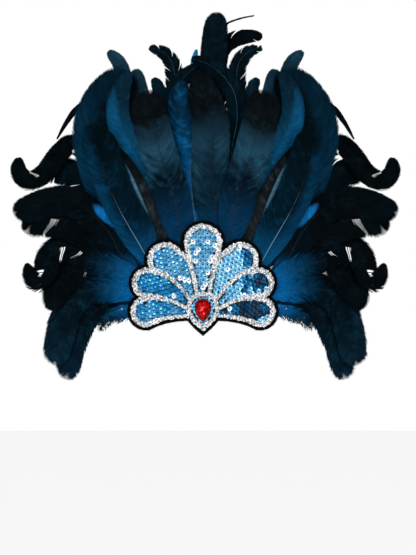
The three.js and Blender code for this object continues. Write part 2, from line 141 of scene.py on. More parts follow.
class Graph:
    """Builds a node tree, for geometry or for a material."""

    def __init__(self, tree: bpy.types.NodeTree) -> None:
        """Wraps a tree."""
        self.tree = tree
        self.keys: dict[str, str] = {}
        self.entry: bpy.types.Node | None = None

    @classmethod
    def growth(cls, name: str, **labels: str) -> "Graph":
        """Starts a geometry tree.

        Args:
            name: The tree's name.
            **labels: For each kind of socket, the names of its inputs, with commas between them.

        Returns:
            The graph, with its inputs made.
        """
        tree = bpy.data.node_groups.new(name, "GeometryNodeTree")
        graph = cls(tree)
        for kind, row in {"Geometry": "Geometry", **labels}.items():
            for label in row.split(", "):
                socket = tree.interface.new_socket(label, in_out="INPUT", socket_type=f"NodeSocket{kind}")
                graph.keys[label] = socket.identifier
        tree.interface.new_socket("Geometry", in_out="OUTPUT", socket_type="NodeSocketGeometry")
        graph.entry = tree.nodes.new("NodeGroupInput")
        return graph

    def take(self, *labels: str) -> Field | list[Field]:
        """The value of a named input, or a list of the values of several."""
        found = [Field(self, self.entry.outputs[label]) for label in labels]
        return found if len(found) > 1 else found[0]

    def node(self, kind: str, inputs: Mapping[str | int, object] | None = None,
             **settings: object) -> bpy.types.Node:
        """Adds a node.

        Args:
            kind: The node's type.
            inputs: What each of its inputs takes: a field, a socket or a constant.
            **settings: The node's own options.

        Returns:
            The node.
        """
        node = self.tree.nodes.new(kind)
        for key, value in settings.items():
            setattr(node, key, value)
        for key, value in (inputs or {}).items():
            self.feed(node.inputs[key], value)
        return node

    def feed(self, socket: Socket, value: object) -> None:
        """Links a field or a socket to an input, or sets the input to a constant.

        Args:
            socket: The input.
            value: What it takes.
        """
        if isinstance(value, (Field, Socket)):
            self.tree.links.new(value.socket if isinstance(value, Field) else value, socket)
        else:
            socket.default_value = value

    def math(self, operation: str, *values: Value) -> Field:
        """One step of a reckoning."""
        node = self.node("ShaderNodeMath", dict(enumerate(values)), operation=operation)
        return Field(self, node.outputs[0])

    def vector(self, x: Value, y: Value, z: Value) -> Field:
        """A vector of three values."""
        return Field(self, self.node("ShaderNodeCombineXYZ", {0: x, 1: y, 2: z}).outputs[0])

    def split(self, vector: Field | Socket) -> list[Field]:
        """The three values of a vector."""
        node = self.node("ShaderNodeSeparateXYZ", {0: vector})
        return [Field(self, output) for output in node.outputs]

    def chance(self, seed: Value) -> Field:
        """A number from 0 to 1 that looks random. Each number added to a seed is a draw of its own."""
        node = self.node("ShaderNodeTexWhiteNoise", {"W": seed}, noise_dimensions="1D")
        return Field(self, node.outputs["Value"])

    def noise(self, place: Field | Socket, scale: Value, detail: float = 3.0,
              rough: float = 0.55) -> bpy.types.Node:
        """A soft noise in space, with its Fac and Color."""
        return self.node("ShaderNodeTexNoise",
                         {"Vector": place, "Scale": scale, "Detail": detail, "Roughness": rough})

    def cloud(self, place: Field | Socket, scale: Value, detail: float = 3.0, rough: float = 0.55) -> Field:
        """A soft noise in space, from 0 to 1."""
        return Field(self, self.noise(place, scale, detail, rough).outputs["Fac"])

    def finish(self, geometry: Socket) -> "Graph":
        """Ends a geometry tree with its result."""
        self.feed(self.node("NodeGroupOutput").inputs[0], geometry)
        return self

    # Steps of a geometry tree

    def index(self) -> Field:
        """The number of a point."""
        return Field(self, self.node("GeometryNodeInputIndex").outputs[0])

    def position(self) -> list[Field]:
        """The place of a point."""
        return self.split(self.node("GeometryNodeInputPosition").outputs[0])

    def object_mesh(self, label: str) -> Socket:
        """The mesh of the object in a named input."""
        return self.node("GeometryNodeObjectInfo", {"Object": self.take(label)}).outputs["Geometry"]

    def keep(self, geometry: Socket, name: str, value: object, kind: str = "FLOAT_VECTOR") -> Socket:
        """Keeps a value with each point, under a name."""
        return self.node("GeometryNodeStoreNamedAttribute", {
            "Geometry": geometry, "Name": name, "Value": value}, data_type=kind).outputs[0]

    def kept(self, name: str, kind: str = "FLOAT_VECTOR") -> Field:
        """A value that was kept under a name."""
        node = self.node("GeometryNodeInputNamedAttribute", {"Name": name}, data_type=kind)
        return Field(self, node.outputs[0])

    def moved(self, geometry: Socket, x: Value, y: Value, z: Value) -> Socket:
        """Moves each point to a place."""
        return self.node("GeometryNodeSetPosition", {
            "Geometry": geometry, "Position": self.vector(x, y, z)}).outputs[0]

    def line_from(self, mesh: Socket) -> Socket:
        """The edges of a mesh as a curve."""
        return self.node("GeometryNodeMeshToCurve", {"Mesh": mesh}).outputs[0]

    def evened(self, curve: Socket, count: object) -> Socket:
        """A curve with its points at even distances."""
        return self.node("GeometryNodeResampleCurve", {"Curve": curve, "Count": count}).outputs[0]

    def circle(self, corners: int, radius: float = 1.0) -> Socket:
        """A round line with corners."""
        return self.node("GeometryNodeCurvePrimitiveCircle", {
            "Resolution": corners, "Radius": radius}).outputs[0]

    def swept(self, curve: Socket, profile: Socket, smooth: bool = False, **sizes: object) -> Socket:
        """Sweeps a profile along a curve.

        Args:
            curve: The curve.
            profile: The outline that is swept.
            smooth: Whether the surface is shaded smoothly.
            **sizes: More inputs of the sweep: scale, and fill_caps to close the ends.

        Returns:
            The swept mesh.
        """
        tube = self.node("GeometryNodeCurveToMesh", {
            "Curve": curve, "Profile Curve": profile, **titled(sizes)})
        return self.node("GeometryNodeSetShadeSmooth", {
            "Geometry": tube.outputs[0], "Shade Smooth": smooth}).outputs[0]

    def cone(self, corners: int, radius: float, top: float, height: float) -> Socket:
        """A cone whose top has a share of its foot's radius."""
        return self.node("GeometryNodeMeshCone", {
            "Vertices": corners, "Radius Top": radius * top, "Radius Bottom": radius,
            "Depth": height}).outputs[0]

    def together(self, *parts: Socket) -> Socket:
        """All parts in one geometry.

        Args:
            *parts: Geometries, in the order in which they are joined.

        Returns:
            The joined geometry.
        """
        node = self.node("GeometryNodeJoinGeometry")
        for part in parts:
            self.feed(node.inputs[0], part)
        return node.outputs[0]

    def real(self, geometry: Socket) -> Socket:
        """Copies turned into real meshes."""
        return self.node("GeometryNodeRealizeInstances", {0: geometry}).outputs[0]

    def copies(self, points: Socket, shape: Socket, **inputs: object) -> Socket:
        """Puts a shape on each point, as a real mesh.

        Args:
            points: The points.
            shape: The shape.
            **inputs: rotation and selection, for each point.

        Returns:
            The copies in one mesh.
        """
        return self.real(self.node("GeometryNodeInstanceOnPoints", {
            "Points": points, "Instance": shape, **titled(inputs)}).outputs[0])

    def painted(self, geometry: Socket, finish: str, chosen: object = True) -> Socket:
        """Gives the finish in a named input to the faces that are chosen."""
        return self.node("GeometryNodeSetMaterial", {
            "Geometry": geometry, "Selection": chosen, "Material": self.take(finish)}).outputs[0]

    # Steps of a material

    def place(self) -> Field:
        """The place on the piece, in metres."""
        return Field(self, self.node("ShaderNodeTexCoord").outputs["Object"])

    def stored(self, name: str, output: str = "Fac") -> Field:
        """A value that the mesh holds under a name."""
        return Field(self, self.node("ShaderNodeAttribute", attribute_name=name).outputs[output])

    def ramp(self, value: Field, places: Sequence[float], codes: Sequence[str]) -> Field:
        """A colour that changes with a value.

        Args:
            value: What the colour depends on, from 0 to 1.
            places: Values at which the colours stand.
            codes: The colour at each place, in hex digits.

        Returns:
            The colour.
        """
        node = self.node("ShaderNodeValToRGB", {0: value})
        elements = node.color_ramp.elements
        while len(elements) < len(places):
            elements.new(0.5)
        for element, place, code in zip(elements, places, codes):
            element.position = place
            element.color = dye(code)
        return Field(self, node.outputs[0])

    def blend(self, share: Value, first: object, second: object, way: str = "MIX") -> Field:
        """A mix of two colours.

        Args:
            share: How much of the second colour shows.
            first: The first colour.
            second: The second colour.
            way: How they are mixed.

        Returns:
            The mixed colour.
        """
        node = self.node("ShaderNodeMix", {"Factor": share, 6: first, 7: second},
                         data_type="RGBA", blend_type=way)
        return Field(self, node.outputs[2])

    def bump(self, height: Field, distance: float) -> Field:
        """The direction of a surface with bumps of a real depth, in metres."""
        node = self.node("ShaderNodeBump", {"Height": height, "Distance": distance, "Strength": 1.0})
        return Field(self, node.outputs[0])


# Meshes and pieces

def mesh_of(name: str, points: Sequence[Sequence[float]], edges: Sequence[Sequence[int]] = (),
            faces: Sequence[Sequence[int]] = ()) -> bpy.types.Mesh:
    """Makes a mesh.

    Args:
        name: Its name.
        points: Its points.
        edges: The points of each edge that belongs to no face.
        faces: The points of each face.

    Returns:
        The mesh.
    """
    mesh = bpy.data.meshes.new(name)
    mesh.from_pydata(*([tuple(entry) for entry in row] for row in (points, edges, faces)))
    mesh.update()
    return mesh


def shown(name: str, data: bpy.types.ID) -> bpy.types.Object:
    """Puts an object in the scene.

    Args:
        name: Its name.
        data: Its mesh, camera or light.

    Returns:
        The object.
    """
    piece = bpy.data.objects.new(name, data)
    bpy.context.scene.collection.objects.link(piece)
    return piece


def grow(name: str, graph: Graph, sizes: Mapping[str, object],
         host: bpy.types.Mesh | None = None) -> bpy.types.Object:
    """Runs a geometry tree and keeps the result as a plain mesh.

    Args:
        name: Name of the piece.
        graph: The tree.
        sizes: A value for each of the tree's inputs.
        host: The mesh that the tree starts from, where it needs one.

    Returns:
        The piece, at the origin, with no modifier left.
    """
    if host is None:
        host = mesh_of("host", [(0, 0, 0)])
    piece = shown(name, host)
    modifier = piece.modifiers.new("growth", "NODES")
    modifier.node_group = graph.tree
    for label, value in sizes.items():
        modifier[graph.keys[label]] = value
    view = bpy.context.evaluated_depsgraph_get()
    piece.data = bpy.data.meshes.new_from_object(
        piece.evaluated_get(view), preserve_all_data_layers=True, depsgraph=view)
    piece.modifiers.remove(modifier)
    piece.data.name = name
    bpy.data.meshes.remove(host)
    return piece


def walls(rings: int, corners: int, closed: bool = False) -> list[tuple[int, ...]]:
    """Four-sided faces between rings of points.

    Args:
        rings: Number of rings.
        corners: Points in each ring.
        closed: Whether the last ring joins the first. If not, both get a cap.

    Returns:
        The points of each face.
    """
    faces = [(ring * corners + i, ring * corners + (i + 1) % corners,
              (ring + 1) % rings * corners + (i + 1) % corners, (ring + 1) % rings * corners + i)
             for ring in range(rings if closed else rings - 1) for i in range(corners)]
    if closed:
        return faces
    first, last = caps(rings, corners)
    return [*faces, first[::-1], last]


def caps(rings: int, corners: int) -> list[tuple[int, ...]]:
    """The first and the last of some rings of points, as faces."""
    return [tuple(range(corners)), tuple(range((rings - 1) * corners, rings * corners))]


def solid(name: str, points: Sequence[Sequence[float]], faces: Sequence[Sequence[int]], finish: "Finish",
          smooth: bool = False) -> bpy.types.Object:
    """A closed piece whose faces point outwards.

    Args:
        name: Name of the piece.
        points: Its points.
        faces: The points of each face.
        finish: Its finish.
        smooth: Whether it is shaded smoothly.

    Returns:
        The piece.
    """
    mesh = mesh_of(name, points, faces=faces)
    shape = bmesh.new()
    shape.from_mesh(mesh)
    bmesh.ops.recalc_face_normals(shape, faces=shape.faces)
    shape.to_mesh(mesh)
    shape.free()
    for polygon in mesh.polygons:
        polygon.use_smooth = smooth
    mesh.materials.append(finish.material())
    return shown(name, mesh)


def joined(name: str, parts: Sequence[bpy.types.Object]) -> bpy.types.Object:
    """Joins objects into the first of them and renames it.

    Args:
        name: The new name.
        parts: The objects.

    Returns:
        The first object, which now holds them all.
    """
    first = parts[0]
    with bpy.context.temp_override(active_object=first, object=first, selected_objects=list(parts),
                                   selected_editable_objects=list(parts)):
        bpy.ops.object.join()
    first.name = name
    first.data.name = name
    return first


def attach(piece: bpy.types.Object, slot: str, *nodes: str) -> bpy.types.Object:
    """Tells the frame what a piece rides on, and hides the nodes that it stands for.

    Args:
        piece: The piece.
        slot: Not used.
        *nodes: The nodes that it replaces.

    Returns:
        The piece.
    """
    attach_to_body(piece, BODY)
    if nodes:
        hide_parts(*nodes)
    LOG.info("%s: %d faces", piece.name, len(piece.data.polygons))
    return piece


# Shape of the crown

@dataclass(frozen=True)
class CrownShape:
    """How the crown bends round the head, and where each layer of plumes stands.

    Plumes fall back with slope past straight_from. Their layers lie pitch apart at the foot and
    spread past bloom_from, and a vane is cupped on both sides of its quill.
    """

    slope: float = 0.33
    straight_from: float = 0.072
    folds: tuple[float, ...] = (0.012, 0.036, 0.060)
    fold_slope: float = 0.11
    middle: float = -0.1069
    felt_back: float = -0.1182
    pitch: float = 0.0026
    layers: int = 8
    lean: float = 0.3
    lean_from: float = 0.040
    bloom: float = 0.21
    bloom_from: float = 0.060
    cup: float = 0.04
    cup_growth: float = 0.7

    def folded(self, x: float) -> float:
        """How far the applique falls back at a place across it."""
        return self.fold_slope * sum(max(0.0, abs(x) - fold) for fold in self.folds)

    def depth(self, graph: Graph, x: Field, z: Field, place: Field, across: Field) -> Field:
        """Depth of a point of a plume.

        Args:
            graph: The tree in which it is worked out.
            x: Place across the crown.
            z: Height.
            place: The plume's layer, counted from the middle one.
            across: Distance from the plume's quill.

        Returns:
            The place along Y.
        """
        side = x.size()
        near = side.least(self.straight_from)
        bend = (near * near / (2 * self.straight_from) + (side - near)) * self.slope
        reach = graph.math("SQRT", x * x + z * z)
        lean = (reach - self.lean_from).most(0.0)
        bloom = (reach - self.bloom_from).most(0.0)
        layer = place * (bloom * bloom * self.bloom + self.pitch)
        cup = across.size() * (bloom * self.cup_growth + self.cup)
        return bend + layer + lean * lean * self.lean + cup + self.middle


CROWN = CrownShape()


def smooth_path(points: Sequence[tuple[float, float]], steps: int = 16) -> np.ndarray:
    """Centripetal curve through points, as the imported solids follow.

    Args:
        points: The points, at least two.
        steps: How many stretches there are between two points.

    Returns:
        An array of points along the curve.
    """
    row = np.array(points, dtype=float)
    row = np.vstack([2 * row[0] - row[1], row, 2 * row[-1] - row[-2]])
    found = []
    for i in range(1, len(row) - 2):
        before, start, end, after = row[i - 1:i + 3]
        gaps = [max(1e-9, math.dist(a, b) ** 0.5) for a, b in ((before, start), (start, end), (end, after))]
        first = (start - before) / gaps[0] - (end - before) / (gaps[0] + gaps[1]) + (end - start) / gaps[1]
        second = (end - start) / gaps[1] - (after - start) / (gaps[1] + gaps[2]) + (after - end) / gaps[2]
        first *= gaps[1]
        second *= gaps[1]
        for t in np.arange(steps) / steps:
            found.append(start + first * t + (3 * (end - start) - 2 * first - second) * t ** 2
                         + (2 * (start - end) + first + second) * t ** 3)
    found.append(row[-2])
    return np.array(found)


# Finishes

class Finish:
    """A material made of nodes, built once and shared."""

    name: str

    def surface(self, graph: Graph) -> Mapping[str, object]:
        """What each of the shader's sockets takes: a constant, or a field where it varies."""
        return {}

    def material(self) -> bpy.types.Material:
        """The material, made at its first use.

        Returns:
            The material, with the finish's nodes.
        """
        label = f"{self.name}_finish"
        made = bpy.data.materials.get(label)
        if made is None:
            made = bpy.data.materials.new(label)
            made.use_nodes = True
            graph = Graph(made.node_tree)
            shader = made.node_tree.nodes["Principled BSDF"]
            for socket, value in self.surface(graph).items():
                graph.feed(shader.inputs[socket], value)
        return made


@dataclass(frozen=True)
class VaneFinish(Finish):
    """Barbs of a dyed plume: a colour along the blade, mottling, a tone for each barb, and marks. The pale
    flecks are mottling with painted sheen among them, and the patch is a real colour on some dyes and a
    painted highlight on others.

    Places on a blade are its share along it, and its share across it, positive on the inner side.
    """

    name: str
    foot: str
    low: str
    high: str
    tip: str
    stops: tuple[float, float, float, float] = (0.02, 0.3, 0.62, 0.85)
    mottle: float = 0.3
    streaks: float = 0.35
    fleck: str = "1d3a48"
    flecks: float = 0.12
    outer: str = "06456e"
    outer_share: float = 0.0
    patch: str = "0a6cb0"
    patch_share: float = 0.0
    patch_place: Pair = (0.5, 0.3)
    patch_half: Pair = (0.15, 0.4)
    patch_edge: float = 1.6
    cloud_scale: float = 55.0
    fine_scale: float = 260.0
    barb_scale: tuple[float, float, float] = (420.0, 0.6, 9.0)
    bunch_scale: tuple[float, float, float] = (34.0, 2.2, 14.0)
    streak_contrast: float = 3.2
    streak_shift: float = 0.05
    outer_rise: float = -3.0
    outer_fade: float = 1.3
    fleck_contrast: Pair = (2.6, 0.6)
    fleck_fade: Pair = (1.8, 1.6)
    roughness: Pair = (0.38, 0.2)
    tones: tuple[Pair, Pair, Pair] = ((0.55, 0.9), (0.65, 0.7), (0.35, 1.3))
    gloss: float = 0.012

    def mark(self, along: Field, across: Field, cloud: Field) -> Field:
        """How much of the patch shows, a real colour on some dyes and a painted highlight on others.

        Args:
            along: Share along the blade.
            across: Share across it.
            cloud: Noise that makes the patch's edge uneven.

        Returns:
            A share from 0 to 1.
        """
        away = [(value + cloud.swing(half * 0.5) - place) / half for value, place, half in
                zip((along, across), self.patch_place, self.patch_half)]
        return ((1.0 - away[0] * away[0] - away[1] * away[1]) * self.patch_edge).held() * self.patch_share

    def surface(self, graph: Graph) -> Mapping[str, object]:
        """Colour from the place on the blade, the barb and a mottling in space, with some painted sheen in
        the flecks and patches. Next to no gloss.

        Args:
            graph: The material's node tree.

        Returns:
            What each of the shader's sockets takes.
        """
        place = graph.place()
        along, across, root = graph.split(graph.stored("vane", "Vector"))
        x, _, _ = graph.split(place)
        cloud = graph.cloud(place, self.cloud_scale, 4.0, 0.6)
        fine = graph.cloud(place, self.fine_scale, 3.0, 0.6)
        barb, bunch = [graph.cloud(graph.vector(root * row[0], across * row[1], x * row[2]), 1.0)
                       for row in (self.barb_scale, self.bunch_scale)]
        streak = bunch.swing(self.streak_contrast).least(1.0).most(-1.0)
        shifted = (along + cloud.swing(self.mottle) + streak * self.streak_shift).held()
        body = graph.ramp(shifted, self.stops, (self.foot, self.low, self.high, self.tip))
        if self.outer_share:
            edge = (across * self.outer_rise + cloud.swing(1.0)).held() * self.outer_share
            body = graph.blend(edge * (self.outer_fade - along).held(), body, dye(self.outer))
        # Pale flecks, strongest near the foot: mottled patches, partly painted sheen.
        by_cloud, by_streak = self.fleck_contrast
        start, fall = self.fleck_fade
        bright = (cloud.swing(by_cloud) + streak * by_streak).held() * self.flecks
        body = graph.blend(bright * (start - along * fall).held(), body, dye(self.fleck))
        # The patch: painted sheen on some dyes, a real colour on others.
        if self.patch_share:
            body = graph.blend(self.mark(along, across, cloud), body, dye(self.patch))
        barb_tone, fine_tone, cloud_tone = [
            value * more + least for value, (least, more) in zip((barb, fine, cloud), self.tones)]
        tone = barb_tone * fine_tone * cloud_tone * (1.0 + streak * self.streaks)
        body = graph.blend(1.0, body, graph.vector(tone, tone, tone), "MULTIPLY")
        least, more = self.roughness
        return {"Base Color": body, "Roughness": fine * more + least, "Specular IOR Level": self.gloss,
                "Sheen Roughness": 0.5}


@dataclass(frozen=True)
class QuillFinish(Finish):
    """Horn of a quill, from its foot to its tip."""

    name: str
    foot: str
    tip: str

    def surface(self, graph: Graph) -> Mapping[str, object]:
        """Smooth horn, coloured along the quill with slow changes of tone.

        Args:
            graph: The material's node tree.

        Returns:
            What each of the shader's sockets takes.
        """
        place = graph.place()
        along, _, _ = graph.split(graph.stored("vane", "Vector"))
        shifted = (along + graph.cloud(place, 120.0).swing(0.3)).held()
        return {"Base Color": graph.ramp(shifted, (0.0, 0.38, 0.6), (self.foot, self.foot, self.tip)),
                "Normal": graph.bump(graph.cloud(place, 900.0), 0.0001),
                "Roughness": 0.45, "Specular IOR Level": 0.06}


@dataclass(frozen=True)
class SequinFinish(Finish):
    """Metallized film. The tone attribute runs from bright at 0 to dark at 0.9, with painted shade at the
    dark end, and 1 is a painted glint.
    """

    name: str
    bright: str
    middle: str
    dark: str
    glint: str = "e8f4fb"
    metallic: float = 0.85
    roughness: float = 0.24

    def surface(self, graph: Graph) -> Mapping[str, object]:
        """Clear film over metal, coloured by each sequin's tone with its painted shade and glints, with
        faint scratches.

        Args:
            graph: The material's node tree.

        Returns:
            What each of the shader's sockets takes.
        """
        fine = graph.cloud(graph.place(), 1400.0)
        colour = graph.ramp(graph.stored("tone"), (0.0, 0.45, 0.9, 0.98),
                            (self.bright, self.middle, self.dark, self.glint))
        return {"Base Color": colour, "Roughness": fine * 0.16 + (self.roughness - 0.08),
                "Normal": graph.bump(fine, 0.00004), "Metallic": self.metallic, "Specular IOR Level": 0.08,
                "Coat Weight": 0.05, "Coat Roughness": 0.1}


@dataclass(frozen=True)
class ClothFinish(Finish):
    """Felt or woven backing: matt, with fibres of uneven tone."""

    name: str
    colour: str
    fibre: str
    scale: float = 1500.0
    depth: float = 0.00025

    def surface(self, graph: Graph) -> Mapping[str, object]:
        """Fibre noise in two sizes.

        Args:
            graph: The material's node tree.

        Returns:
            What each of the shader's sockets takes.
        """
        place = graph.place()
        fibres = graph.cloud(place, self.scale, 5.0, 0.7)
        share = (fibres * 0.7 + graph.cloud(place, 90.0) * 0.3 - 0.25).held()
        return {"Base Color": graph.blend(share, dye(self.colour), dye(self.fibre)),
                "Normal": graph.bump(fibres, self.depth), "Roughness": 0.95, "Specular IOR Level": 0.03}


@dataclass(frozen=True)
class ElasticFinish(Finish):
    """Black elastic: yarns cross its ribs."""

    name: str = "elastic_black"
    colour: str = "0d0d0f"
    yarn: str = "2b2b30"
    yarn_pace: float = 5200.0
    ply_pace: float = 2500.0

    def surface(self, graph: Graph) -> Mapping[str, object]:
        """Yarns that follow the strap's own length and height.

        Args:
            graph: The material's node tree.

        Returns:
            What each of the shader's sockets takes.
        """
        along, up, _ = graph.split(graph.stored("strap", "Vector"))
        sway = graph.math("SINE", up * self.ply_pace) * 1.5
        wave = graph.math("SINE", along * self.yarn_pace + sway) * 0.5 + 0.5
        return {"Base Color": graph.blend(wave, dye(self.colour), dye(self.yarn)),
                "Normal": graph.bump(wave, 0.0002), "Roughness": 0.75, "Specular IOR Level": 0.3,
                "Sheen Weight": 0.1}


@dataclass(frozen=True)
class StoneFinish(Finish):
    """Foil-backed red stone. The facet attribute holds each facet's painted reflection, from dark to a
    painted glint.
    """

    name: str = "stone_red"
    # Colours of the painted reflections, from a dark facet to a painted glint.
    shades: tuple[str, ...] = ("240002", "5c0205", "a80408", "e8140e", "ffc8c0")
    places: tuple[float, ...] = (0.0, 0.3, 0.62, 0.9, 1.0)

    def surface(self, graph: Graph) -> Mapping[str, object]:
        """Polished acrylic, coloured by each facet's painted reflection, with fine wear in the gloss.

        Args:
            graph: The material's node tree.

        Returns:
            What each of the shader's sockets takes.
        """
        place = graph.place()
        shade = (graph.stored("facet") + graph.cloud(place, 380.0).swing(0.3)).held()
        return {"Base Color": graph.ramp(shade, self.places, self.shades),
                "Roughness": graph.cloud(place, 1500.0) * 0.08, "IOR": 1.57, "Specular IOR Level": 0.06,
                "Metallic": 0.35}


@dataclass(frozen=True)
class ThreadFinish(Finish):
    """Twisted sewing thread."""

    name: str = "thread_black"
    colour: str = "02070c"
    ply: str = "0c161e"

    def surface(self, graph: Graph) -> Mapping[str, object]:
        """Waxed thread with fine plies.

        Args:
            graph: The material's node tree.

        Returns:
            What each of the shader's sockets takes.
        """
        plies = graph.cloud(graph.place(), 4200.0)
        return {"Base Color": graph.blend(plies, dye(self.colour), dye(self.ply)),
                "Normal": graph.bump(plies, 0.0001), "Roughness": 0.7, "Specular IOR Level": 0.05}


# The dark blue paints shade on the sequins, and the glint colour paints highlights.
BLUE_FILM = SequinFinish("film_blue", "80bfe2", "1a76ae", "001c32", metallic=0.78)
# On silver, the darker tones and the white glint are painted reflections.
SILVER_FILM = SequinFinish("film_silver", "fafbfc", "c4c8cb", "34383b", "ffffff", metallic=0.55,
                           roughness=0.3)
BLACK_FELT = ClothFinish("felt_black", "020203", "0d0d0f")
NAVY_NET = ClothFinish("net_navy", "04121c", "0c3048", scale=2200.0)
SILVER_TAPE = ClothFinish("tape_silver", "6a6e72", "b4b8bb", scale=2600.0)
SEWING_THREAD = ThreadFinish()
PAD_THREAD = ThreadFinish("thread_grey", "2c3036", "5c6066")


class Dye(Enum):
    """Vane finishes: how each kind of plume took the dye, and the painted sheen and highlights that some of
    them carry.
    """

    PEACOCK = VaneFinish("dye_peacock", "05456f", "00131f", "001019", "00090e", outer="054c76",
                         outer_share=0.28, fleck="07385a", flecks=0.35)
    SLATE = VaneFinish("dye_slate", "04406a", "04202e", "15303d", "0f2a38", flecks=0.3, fleck="2a4a5a")
    # The pale patch below is a painted sheen streak.
    BROWN = VaneFinish("dye_brown", "0c1418", "15191b", "080d10", "03070a", flecks=0.5, fleck="2e3c44",
                       patch="3a6074", patch_share=0.9, patch_place=(0.6, -0.28), patch_half=(0.3, 0.22))
    # The patch below is a painted highlight along the outer edge.
    SKY = VaneFinish("dye_sky", "033c60", "042f4a", "053d5a", "041c2a", flecks=0.3, fleck="1d4a62",
                     patch="084a70", patch_share=0.7, patch_place=(0.62, -0.5), patch_half=(0.3, 0.6))
    LAKE = VaneFinish("dye_lake", "043c62", "021c2c", "01141f", "010a10", outer="055076", outer_share=0.16,
                      fleck="06304a", flecks=0.4)
    INK = VaneFinish("dye_ink", "043a5c", "010c13", "010508", "010609", stops=(0.02, 0.2, 0.45, 0.85),
                     flecks=0.3, fleck="0a202c")
    WING = VaneFinish("dye_wing", "04406a", "010c14", "010508", "01070b", stops=(0.02, 0.22, 0.45, 0.85),
                      flecks=0.25, fleck="0a202c", patch="085c94", patch_share=0.85,
                      patch_place=(0.45, 0.45), patch_half=(0.09, 0.34))
    # These bluish tips and pale flecks are painted sheen on a black plume.
    DUSK = VaneFinish("dye_dusk", "043a5c", "010c14", "010e16", "041824", stops=(0.02, 0.25, 0.6, 0.95),
                      flecks=0.3, fleck="12384a")
    TEAL = VaneFinish("dye_teal", "04406a", "031e2b", "02131b", "010c12", flecks=0.3, fleck="123644")
    EARTH = VaneFinish("dye_earth", "023052", "010e18", "17384a", "05090c", stops=(0.02, 0.42, 0.64, 0.8),
                       flecks=0.15, fleck="1c4058")
    BARK = VaneFinish("dye_bark", "033a60", "021624", "112c3b", "04080b", stops=(0.02, 0.3, 0.6, 0.78),
                      flecks=0.2, fleck="20404e")
    BRIGHT = VaneFinish("dye_bright", "054e80", "05487a", "033452", "021e30", stops=(0.0, 0.4, 0.6, 0.85),
                        streaks=0.7, flecks=0.6, fleck="0a68a6")
    AZURE = VaneFinish("dye_azure", "043a5c", "05466e", "0a5f8e", "0c6a9a", streaks=0.5)
    FLUFF = VaneFinish("dye_fluff", "0560a0", "044a7c", "022c46", "011019", stops=(0.0, 0.3, 0.58, 0.85),
                       mottle=0.6, flecks=0.15, fleck="0a6aa2")


class Quill(Enum):
    """Quill finishes."""

    PALE = QuillFinish("quill_pale", "56748c", "1a1412")
    BLUE = QuillFinish("quill_blue", "0b3f62", "082c42")
    DARK = QuillFinish("quill_dark", "101a20", "040607")
    BROWN = QuillFinish("quill_brown", "1c1a1c", "0e0c0c")
    # The pale teal quill is partly the quill's own colour and partly a painted highlight line along the
    # blade.
    TEAL = QuillFinish("quill_teal", "1c3c4c", "30586a")


class Tip(Enum):
    """How a blade closes at its tip: width = (1 - v ^ power) ^ root."""

    ROUND = (8.0, 0.5)
    BLUNT = (18.0, 0.5)
    PADDLE = (26.0, 0.5)
    HOOKED = (5.0, 0.6)
    POINT = (1.8, 0.75)


# Plumes

@dataclass(frozen=True)
class Plume:
    """One plume: its layer from the front, widths beside the quill, line, and how its vane is worn.

    halves holds the outer or lower side first. Both are in millimetres, as the line's points are.
    """

    name: str
    layer: int
    halves: Pair
    points: tuple[Pair, ...]
    tip: Tip = Tip.ROUND
    swell: float = 0.4
    dye: Dye = Dye.INK
    quill: Quill = Quill.DARK
    splits: float = 9.0
    clump: float = 0.04
    ragged: float = 0.06
    frizz: float = 0.0003
    lean: float = 1.0


